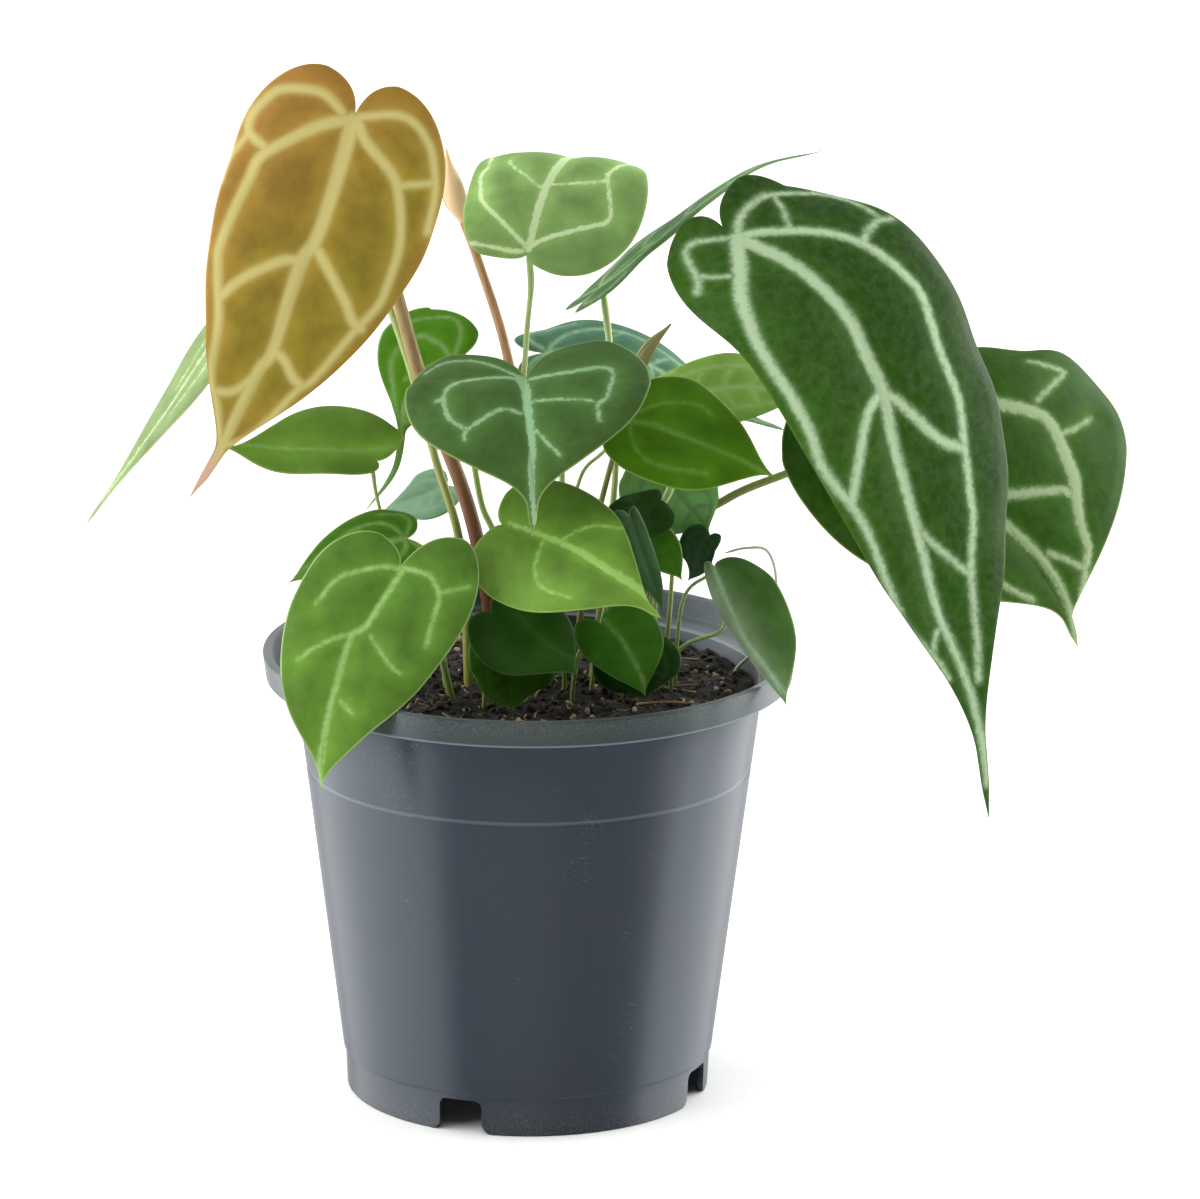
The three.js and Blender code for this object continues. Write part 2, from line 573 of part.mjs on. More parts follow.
    name: "leaf_left", color: 0x4f7f28, counts: MEDIUM, fold: 8, curl: 25,
    rib: [[-34, 0, 144], [-45, 2, 146], [-57, 4, 145], [-69, 4, 146]],
    face: [0, -0.65, 0.8],
    left: half(13, 4, 0.34, 0.58, 0.36, 0.5), right: half(6.5, 1, 0.38, 0.25, 0.23, 0.7),
    root: [-23, -2], stalk: [[-30, 2, 119], [-34, 2, 135]], radius: 0.55,
  },
  {
    name: "leaf_back_left", color: 0x4d8018, counts: MEDIUM, tail: 20, tailWidth: 0.9, fold: 8, curl: 25,
    rib: [[-17, 16, 163], [-24, 15, 160], [-28, 13, 153], [-30, 10, 140], [-37, 8, 130]],
    face: [-0.15, -0.7, 0.67],
    left: half(17, 7.5, 0.12, 0.25, 0.58, 0.28), right: half(14, 5, 0.25, 0.5, 0.36, 0.5),
    root: [-6, 8], stalk: [[-7, 11, 119], [-11, 14, 131], [-14, 16, 147]], radius: 0.9,
  },
  {
    name: "leaf_grey_small", color: 0x7a9c88, counts: SMALL, fold: 8, curl: 20,
    rib: [[-19, 9, 136], [-24, 7, 134], [-31, 5, 132], [-34, 3, 130]],
    face: [-0.2, -0.6, 0.8],
    left: half(7, 2, 0.15, 0.5, 0.5, 0.3), right: half(7, 2, 0.25, 0.5, 0.36, 0.5),
    root: [-13, 6], stalk: [[-15, 8, 119], [-17, 10, 129]], radius: 0.55,
  },
];

// Rods with no open blade: a rolled young leaf at the end of its stalk, a spike, and a dry stalk.
// The radii are at the two ends. A bulb is the rolled leaf, from a share of the way up.
const SHOOTS = [
  {
    name: "shoot_cream_bud", color: 0xc09a72,
    path: [[1, 3, ROOT_Z], [-2, 4, 139], [-5, 9, 165], [-12, 14, 187], [-17, 17, 200], [-19, 18, 211]],
    radii: [1.3, 1], bulb: { from: 0.86, radius: 2.2 },
  },
  {
    name: "shoot_rolled_spike", color: 0x7b7f45,
    path: [[9, 4, ROOT_Z], [13, 4, 120], [20, 2, 151], [25, 0, 168], [31, -1, 176]],
    radii: [0.8, 0.6], bulb: { from: 0.82, radius: 1.3 },
  },
  {
    name: "dry_stalk", color: 0xc9cfa8,
    path: [[44, 7, ROOT_Z], [46, 7, 94], [53, 6, 102], [55, 4, 115], [53, 3, 123], [48, 2, 124], [43, 1, 123]],
    radii: [0.6, 0.4],
  },
];

function stalkPath(spec) {
  const surface = bladeSurface(spec);
  const joint = surface.at(JOINT_LAP, 0, 1).toArray();
  return [[...spec.root, ROOT_Z], ...spec.stalk, joint];
}

function leaf(spec) {
  const { body } = blade(spec);
  const stalk = rod(stalkPath(spec), spec.radius, TOP_TAPER * spec.radius);
  return named(spec.name, body.add(stalk), spec.color, 0.55);
}

function shoot(spec) {
  let body = rod(spec.path, ...spec.radii);
  if (spec.bulb) {
    const curve = new THREE.CatmullRomCurve3(spec.path.map(vec), false, "catmullrom", 0.5);
    const { from, radius } = spec.bulb;
    const at = (share) => curve.getPointAt(lerp(from, 1, share)).toArray();
    body = body.add(rod([at(0), at(0.3), at(0.55)], 0.5, radius, { steps: 3 }));
    body = body.add(rod([at(0.55), at(0.8), at(1)], radius, 0.25, { steps: 3 }));
  }
  return named(spec.name, body, spec.color, 0.6);
}

function soil(leaves, shoots) {
  let body = soilBody();
  leaves.forEach((spec) => {
    const hole = rod(stalkPath(spec), spec.radius, spec.radius, { extra: GAP, from: GAP });
    body = body.subtract(hole);
  });
  shoots.forEach((spec) => {
    body = body.subtract(rod(spec.path, ...spec.radii, { extra: GAP, from: GAP }));
  });
  return named("soil", body, 0x2a1f17, 0.95);
}

const leaves = LEAVES.map((spec) => ({ tail: 0, tailWidth: 0, even: 0, ...spec }));

const plant = new THREE.Group();
plant.add(pot(), soil(leaves, SHOOTS), ...leaves.map(leaf), ...SHOOTS.map(shoot));

// The whole part stands with the middle of its bounding box over the origin
const box = new THREE.Box3().setFromObject(plant, true);
const middle = box.getCenter(new THREE.Vector3());
plant.position.set(-middle.x, -middle.y, -box.min.z);

const group = new THREE.Group();
group.add(plant);
group.updateMatrixWorld(true);

export default group;
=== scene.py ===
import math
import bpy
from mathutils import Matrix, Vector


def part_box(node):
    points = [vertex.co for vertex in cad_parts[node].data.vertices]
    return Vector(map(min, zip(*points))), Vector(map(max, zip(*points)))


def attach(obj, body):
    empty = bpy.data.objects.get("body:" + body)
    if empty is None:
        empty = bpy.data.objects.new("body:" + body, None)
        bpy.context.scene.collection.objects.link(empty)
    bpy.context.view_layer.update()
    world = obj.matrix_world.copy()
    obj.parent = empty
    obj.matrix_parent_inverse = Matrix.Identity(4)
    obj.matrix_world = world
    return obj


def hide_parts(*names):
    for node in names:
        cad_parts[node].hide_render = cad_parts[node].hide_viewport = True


bl_info = {
    "name": "Potted Crystal Anthurium",
    "version": (1, 0, 0),
    "blender": (4, 5, 0),
    "location": "View3D > Sidebar > Anthurium",
    "description": "Dresses the CAD frame of a young crystal anthurium in its nursery pot",
    "category": "Add Mesh",
}

import bpy
import bmesh
import numpy as np
from bpy.props import FloatProperty, FloatVectorProperty, IntProperty, PointerProperty
from mathutils import Matrix, Vector, noise

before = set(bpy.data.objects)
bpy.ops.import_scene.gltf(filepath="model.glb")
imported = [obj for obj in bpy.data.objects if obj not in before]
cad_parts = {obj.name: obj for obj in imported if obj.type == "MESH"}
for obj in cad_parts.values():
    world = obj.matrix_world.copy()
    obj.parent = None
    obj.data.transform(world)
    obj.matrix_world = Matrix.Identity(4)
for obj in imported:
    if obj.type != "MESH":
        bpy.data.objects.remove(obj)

MM = 0.001
POT_LOW, POT_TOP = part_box("pot")
# The plant is laid out in millimetres round the pot's axis, as in the part's source
AXIS = Vector(((POT_LOW.x + POT_TOP.x) / 2, (POT_LOW.y + POT_TOP.y) / 2, 0))

# Camera fitted to the pot's lip, groove and foot in the photo: place in metres, tilts in degrees
CAMERA_PLACE = Vector((0.0157, -1.9279, 0.6446)) + Vector((AXIS.x, AXIS.y, 0))
CAMERA_TILT = 15.43
CAMERA_ROLL = 0.36

# Pot, in millimetres, as in the part's source
POT_HEIGHT = 101
WALL = 1.2
LIP_RADIUS = 59.5
LIP_HEIGHT = 6
LIP_THICK = 2.2
LIP_LEAN = 0.8
NECK_RADIUS = 52.4
NECK_FILLET = 1.4
GROOVE_Z = 75
GROOVE_DEPTH = 0.35
GROOVE_HALF = 0.6
FOOT_HEIGHT = 8.8
FOOT_RADIUS = 41
FOOT_STEP = 0.5
FOOT_LEAN = 0.4
FLOOR_Z = 10.4
NOTCH_WIDTH = 10
NOTCH_HEIGHT = 7.8
NOTCH_ROUND = 2
NOTCH_FLARE = 3
NOTCH_TURN = -21
NOTCHES = 4
DRAIN_HOLES = 6
DRAIN_RADIUS = 3.5
DRAIN_RING = 27

# Soil and leaves, in millimetres, as in the part's source
SOIL_GAP = 0.6
SOIL_Z = 92
SOIL_HEAP = 2
SOIL_LUMP = 0.7
ROOT_Z = 84
TOP_TAPER = 0.75
RIB_SWEEP = 0.55
SINUS_PINCH = 0.15
JOINT_LAP = 1.2
# How full the curves of a margin are: by the drip tip, and in front of and behind the lobe
TAIL_FLARE = 1.3
TAIL_MIDDLE = 0.75
LOBE_SPRING = 0.55
LOBE_ROUND = 0.5
LOBE_SWEEP = 0.85

# Relief of a blade, in millimetres: how far from a vein it swells to its full height, how far
# in from the margin it stays flat, waves and thins out, and the lengths of the margin's waves
SWELL_REACH = 3.5
FLAT_EDGE = 4
WAVE_EDGE = 9
WAVE_FROM_MIDRIB = (2, 12)
WAVE_LENGTHS = (6.5, 3.1)
THIN_EDGE = 0.9
EDGE_THICKNESS = 0.35
TOP_RIDGE = 0.25

# Veins drawn by rule, as shares of a blade: how far out the collecting veins run and how soon
# they get there, the places they pass, and where the laterals leave the midrib
RING_OUT = 0.62
RING_START = 0.16
RING_STOPS = (0.05, 0.12, 0.25, 0.42, 0.6, 0.78)
LATERALS = (0.22, 0.42, 0.62)

# Rolled young leaf: steps round it, its foot's and its tip's thickness, its lap and its twist
ROLL_SIDES = 48
ROLL_FOOT = 0.28
ROLL_TIP = 0.2
SEAM_LAP = 0.16
ROLL_TWIST = 1.2

# Soil: rings and steps round of its mesh and of the bed that loose bits are strewn on, and its
# lumps as (size, height, place in the noise)
SOIL_MESH = (84, 288)
BED_MESH = (40, 120)
LUMPS = ((8, 0.9, 0.3), (3, 0.7, 4.1))
CRUMB_SIZE, CRUMB_HEIGHT, CRUMB_PLACE = 1.2, 0.45, 7.7
# Steps round a drain hole and round the stage's floor
HOLE_STEPS = 32
FLOOR_STEPS = 96

# Patterns of a leaf's skin, in millimetres
BLOTCH, CLOUD, MOTTLE, RAGGED, CELLS, PORES = 14, 6, 2.2, 1.6, 3.2, 0.35
# How strongly each marking covers a leaf's skin
FLECK_COVER = 0.04
NET_COVER = 0.035
VEIN_COVER = 0.92
RIM_COVER = 0.45
UNDER_COVER = 0.65
UNDER_VEIN_COVER = 0.5
# Scuffs on the pot: the turn of each set and how long its lines are for their width
SCUFFS = ((0.4, 26), (1.3, 18), (2.3, 30))
# A blade's UV map is the blade laid flat: this much of it for each millimetre
FLAT_SCALE = 0.01


def half(width, lobe, widest, lobe_out, taper, shoulder):
    """One half of a blade: its width, its lobe's length, and the shares that shape its outline."""
    return {"width": width, "lobe": lobe, "widest": widest, "lobe_out": lobe_out,
            "taper": taper, "shoulder": shoulder}


def leaf(name, rib, face, left, right, root, stalk, radius=0.55, tail=0, tail_width=0, fold=8,
         curl=25, even=0, face_tip=None):
    """One leaf. The midrib runs from the stalk's joint to the tip, and face is the way the upper
    side looks there, with face_tip for another way at the tip. left and right are the blade's
    halves. The stalk starts at root and has this radius at its foot. tail and tail_width are
    the drip tip's. fold and curl bend each half, in degrees, and even draws the blade straight."""
    return {"name": name, "rib": rib, "face": face, "face_tip": face_tip or face, "left": left,
            "right": right, "root": root, "stalk": stalk, "radius": radius, "tail": tail,
            "tail_width": tail_width, "fold": fold, "curl": curl, "even": even}


LEAVES = [
    leaf("leaf_bronze",
         rib=[(-38, -24, 228), (-46, -29, 204), (-55, -33, 179), (-67, -37, 156), (-74, -38, 145)],
         face=(0.1, -1, 0.3), left=half(23.5, 8, 0.14, 0.38, 0.12, 0.74),
         right=half(25, 8.5, 0.18, 0.28, 0.13, 0.45), root=(-6, -2),
         stalk=[(-9, -4, 113), (-14, -4, 136), (-23, -3, 160), (-29, -6, 182), (-35, -12, 208)],
         radius=1.8, tail=12, tail_width=1.2, fold=10, curl=35),
    leaf("leaf_pale_back",
         rib=[(-1, -4, 192), (3, 3, 201), (8, 16, 209), (12, 34, 201), (14, 44, 188)],
         face=(0, -0.75, 0.7), face_tip=(0, 0.6, 0.8), left=half(21.5, 2.5, 0.24, 0.3, 0.26, 0.4),
         right=half(20, 3, 0.3, 0.45, 0.36, 0.45), root=(0, 11),
         stalk=[(-2, 12, 142), (-1, 8, 170), (0, 1, 184)], radius=0.8, curl=35),
    leaf("leaf_far_left", rib=[(-44, 18, 199), (-64, 16, 177), (-81, 12, 152), (-99, 8, 127)],
         face=(-0.6, -0.35, 0.45), left=half(8, 5, 0.25, 0.5, 0.2, 0.6),
         right=half(13, 6, 0.23, 0.5, 0.2, 0.4), root=(-13, -8),
         stalk=[(-15, -4, 123), (-21, 2, 144), (-27, 6, 165), (-34, 12, 182)], radius=1.1, tail=6,
         tail_width=0.7, curl=20),
    leaf("leaf_rising", rib=[(15, 18, 179), (29, 20, 191), (49, 20, 206), (64, 22, 210)],
         face=(-0.25, 0.1, 1), left=half(12, 7, 0.3, 0.5, 0.2, 0.6),
         right=half(16, 9, 0.2, 0.46, 0.27, 0.35), root=(13, 2),
         stalk=[(17, 4, 121), (19, 8, 141), (18, 13, 162)], radius=0.9, tail=8, tail_width=0.7,
         fold=10),
    leaf("leaf_centre",
         rib=[(-1, -16, 167), (-1, -25, 163), (1, -39, 152), (1, -46, 146), (1, -50, 141)],
         face=(-0.1, -0.75, 0.7), left=half(26.5, 9.5, 0.12, 0.61, 0.2, 0.45),
         right=half(28, 10.5, 0.11, 0.57, 0.37, 0.7), root=(1, -6),
         stalk=[(-3, -6, 123), (-2, -8, 151)], radius=1, tail=6, tail_width=1.2, fold=14, curl=30),
    leaf("leaf_great",
         rib=[(42, -14, 201), (69, -25, 184), (88, -38, 127), (97, -48, 103), (101, -50, 77)],
         face=(0.4, -1, 0.4), left=half(25.5, 5.5, 0.19, 0.22, 0.13, 0.25),
         right=half(29.5, 7, 0.4, 0.31, 0.29, 0.48), root=(16, 13),
         stalk=[(28, 15, 118), (39, 18, 143), (49, 17, 165), (52, 8, 183), (49, -4, 195)],
         radius=1.4, tail=16, tail_width=1.3, fold=14, curl=45, even=0.6),
    leaf("leaf_far_right",
         rib=[(83, 10, 160), (91, 3, 152), (107, -3, 129), (118, -5, 113), (122, -6, 104)],
         face=(0.46, -0.9, 0.47), left=half(37.8, 9, 0.15, 0.54, 0.22, 0.62),
         right=half(44, 0.8, 0.39, 0.21, 0.16, 0.73), root=(20, 3),
         stalk=[(27, 9, 120), (44, 11, 133), (60, 12, 140), (74, 12, 149)], radius=1.1, tail=6,
         tail_width=1.2, fold=10, curl=35),
    leaf("leaf_mid_right", rib=[(22, -8, 155), (33, -12, 153), (45, -14, 150), (55, -14, 144)],
         face=(0, -0.8, 0.65), left=half(12, 4, 0.32, 0.5, 0.29, 0.7),
         right=half(15, 3, 0.24, 0.35, 0.36, 0.44), root=(8, -8),
         stalk=[(8, -10, 124), (11, -8, 142), (16, -7, 148)]),
    leaf("leaf_lime_right", rib=[(30, 6, 156), (40, 6, 159), (49, 6, 160), (61, 6, 158)],
         face=(0, -0.8, 0.7), left=half(9, 3, 0.38, 0.5, 0.16, 0.7),
         right=half(9, 3.5, 0.38, 0.52, 0.35, 0.6), root=(18, -5),
         stalk=[(25, -3, 126), (31, -1, 138), (33, 4, 148)], radius=1.1),
    leaf("leaf_arched", rib=[(3, 32, 161), (21, 32, 161), (40, 30, 150), (57, 26, 145)],
         face=(0.4, -0.5, 1), left=half(10, 6, 0.19, 0.5, 0.4, 0.5),
         right=half(12, 7, 0.2, 0.36, 0.22, 0.7), root=(4, 16), stalk=[(7, 24, 134)], radius=0.9,
         tail=4, tail_width=0.8, fold=6, curl=30),
    leaf("leaf_front_left",
         rib=[(-28, -34, 129), (-37, -42, 115), (-43, -50, 101), (-45, -56, 84)],
         face=(-0.15, -0.85, 0.5), left=half(18, 4.5, 0.19, 0.4, 0.28, 0.6),
         right=half(19.5, 12, 0.12, 0.48, 0.19, 0.74), root=(-15, -13),
         stalk=[(-22, -18, 115), (-26, -28, 125)], radius=0.9, curl=22),
    leaf("leaf_front_left_rear",
         rib=[(-27, -14, 130), (-35, -18, 129), (-44, -24, 126), (-53, -30, 124)],
         face=(-0.15, -0.6, 0.7), left=half(10, 4.5, 0.14, 0.46, 0.15, 0.6),
         right=half(9, 2, 0.25, 0.6, 0.36, 0.5), root=(-18, -4),
         stalk=[(-20, -6, 115), (-23, -10, 126)], radius=0.7),
    leaf("leaf_lime_front", rib=[(-6, -24, 136), (5, -30, 132), (18, -38, 127), (29, -42, 120)],
         face=(0, -0.75, 0.7), left=half(16.5, 2, 0.21, 0.4, 0.26, 0.66),
         right=half(17.5, 3.5, 0.26, 0.39, 0.16, 0.41), root=(-4, -13),
         stalk=[(-6, -14, 116), (-7, -18, 130)], radius=0.8, tail=3, tail_width=0.9),
    leaf("leaf_low_left", rib=[(-8, -28, 117), (-2, -30, 112), (4, -32, 109), (11, -33, 104)],
         face=(0, -0.7, 0.75), left=half(10, 2.5, 0.28, 0.4, 0.26, 0.5),
         right=half(12, 3, 0.36, 0.5, 0.16, 0.7), root=(-10, -20), stalk=[(-9, -22, 111)],
         radius=0.6, fold=6, curl=20),
    leaf("leaf_low_left_under", rib=[(-5, -24, 109), (-4, -26, 104), (-4, -28, 99), (-3, -30, 95)],
         face=(0, -0.8, 0.6), left=half(9, 3.5, 0.25, 0.6, 0.18, 0.7),
         right=half(10.5, 3, 0.24, 0.5, 0.15, 0.7), root=(-3, -19), stalk=[(-4, -19, 102)],
         radius=0.6, fold=6),
    leaf("leaf_low_centre", rib=[(16, -22, 113), (20, -25, 109), (23, -27, 104), (26, -28, 98)],
         face=(0, -0.75, 0.65), left=half(8, 3.5, 0.2, 0.46, 0.18, 0.47),
         right=half(10, 1.5, 0.29, 0.3, 0.26, 0.66), root=(9, -16), stalk=[(11, -19, 105)],
         radius=0.6, fold=10, curl=20),
    leaf("leaf_low_centre_under",
         rib=[(23, -15, 106), (24, -17, 102), (25, -19, 98), (26, -20, 95)], face=(0.1, -0.7, 0.7),
         left=half(10, 3, 0.36, 0.54, 0.3, 0.7), right=half(10.5, 2, 0.34, 0.35, 0.2, 0.7),
         root=(20, -10), stalk=[(21, -12, 100)], radius=0.6, fold=6, curl=20),
    leaf("leaf_folded_rim", rib=[(41, -10, 123), (45, -18, 118), (52, -27, 109), (57, -32, 97)],
         face=(-0.1, -0.9, 0.25), left=half(5.5, 3, 0.38, 0.26, 0.15, 0.7),
         right=half(11, 1.5, 0.26, 0.27, 0.16, 0.62), root=(31, -9),
         stalk=[(33, -10, 103), (43, -11, 109), (42, -11, 118)], fold=-25, curl=10),
    leaf("leaf_round", rib=[(31, 7, 142), (33, 5, 136), (37, 4, 131), (40, 3, 127)],
         face=(0.1, -0.8, 0.5), left=half(13, 3, 0.31, 0.5, 0.2, 0.6),
         right=half(10, 3, 0.35, 0.5, 0.2, 0.65), root=(28, 5),
         stalk=[(31, 5, 105), (32, 7, 124), (32, 8, 135)], radius=0.6, fold=6, curl=20),
    leaf("leaf_dark_small", rib=[(29, -6, 137), (25, -8, 136), (21, -10, 136), (16, -11, 136)],
         face=(0, -0.7, 0.7), left=half(4, 1, 0.35, 0.57, 0.2, 0.65),
         right=half(8, 1, 0.3, 0.5, 0.3, 0.6), root=(24, -2), stalk=[(28, -4, 124)], fold=6,
         curl=15),
    leaf("leaf_inner_small", rib=[(24, -8, 131), (28, -10, 128), (31, -11, 124), (34, -12, 120)],
         face=(0, -0.75, 0.6), left=half(4, 1, 0.36, 0.5, 0.3, 0.7),
         right=half(5, 1, 0.34, 0.5, 0.2, 0.65), root=(26, -7),
         stalk=[(28, -9, 114), (26, -9, 124)], fold=6, curl=15),
    leaf("leaf_dark_narrow", rib=[(22, -16, 136), (24, -18, 130), (27, -19, 122), (30, -20, 114)],
         face=(0.5, -0.6, 0.5), left=half(6, 2, 0.25, 0.5, 0.36, 0.5),
         right=half(4, 2, 0.35, 0.45, 0.2, 0.65), root=(13, -11),
         stalk=[(15, -10, 104), (19, -12, 122)], fold=6, curl=15),
    leaf("leaf_dark_right", rib=[(40, -2, 128), (38, -4, 126), (37, -5, 122), (35, -5, 118)],
         face=(0, -0.8, 0.6), left=half(5, 1, 0.24, 0.55, 0.36, 0.45),
         right=half(3.5, 1.5, 0.34, 0.5, 0.2, 0.65), root=(32, 0),
         stalk=[(34, -1, 112), (40, 0, 119)], radius=0.5, curl=15),
    leaf("leaf_left", rib=[(-34, 0, 144), (-45, 2, 146), (-57, 4, 145), (-69, 4, 146)],
         face=(0, -0.65, 0.8), left=half(13, 4, 0.34, 0.58, 0.36, 0.5),
         right=half(6.5, 1, 0.38, 0.25, 0.23, 0.7), root=(-23, -2),
         stalk=[(-30, 2, 119), (-34, 2, 135)]),
    leaf("leaf_back_left",
         rib=[(-17, 16, 163), (-24, 15, 160), (-28, 13, 153), (-30, 10, 140), (-37, 8, 130)],
         face=(-0.15, -0.7, 0.67), left=half(17, 7.5, 0.12, 0.25, 0.58, 0.28),
         right=half(14, 5, 0.25, 0.5, 0.36, 0.5), root=(-6, 8),
         stalk=[(-7, 11, 119), (-11, 14, 131), (-14, 16, 147)], radius=0.9, tail=20,
         tail_width=0.9),
    leaf("leaf_grey_small", rib=[(-19, 9, 136), (-24, 7, 134), (-31, 5, 132), (-34, 3, 130)],
         face=(-0.2, -0.6, 0.8), left=half(7, 2, 0.15, 0.5, 0.5, 0.3),
         right=half(7, 2, 0.25, 0.5, 0.36, 0.5), root=(-13, 6),
         stalk=[(-15, 8, 119), (-17, 10, 129)], curl=20),
]

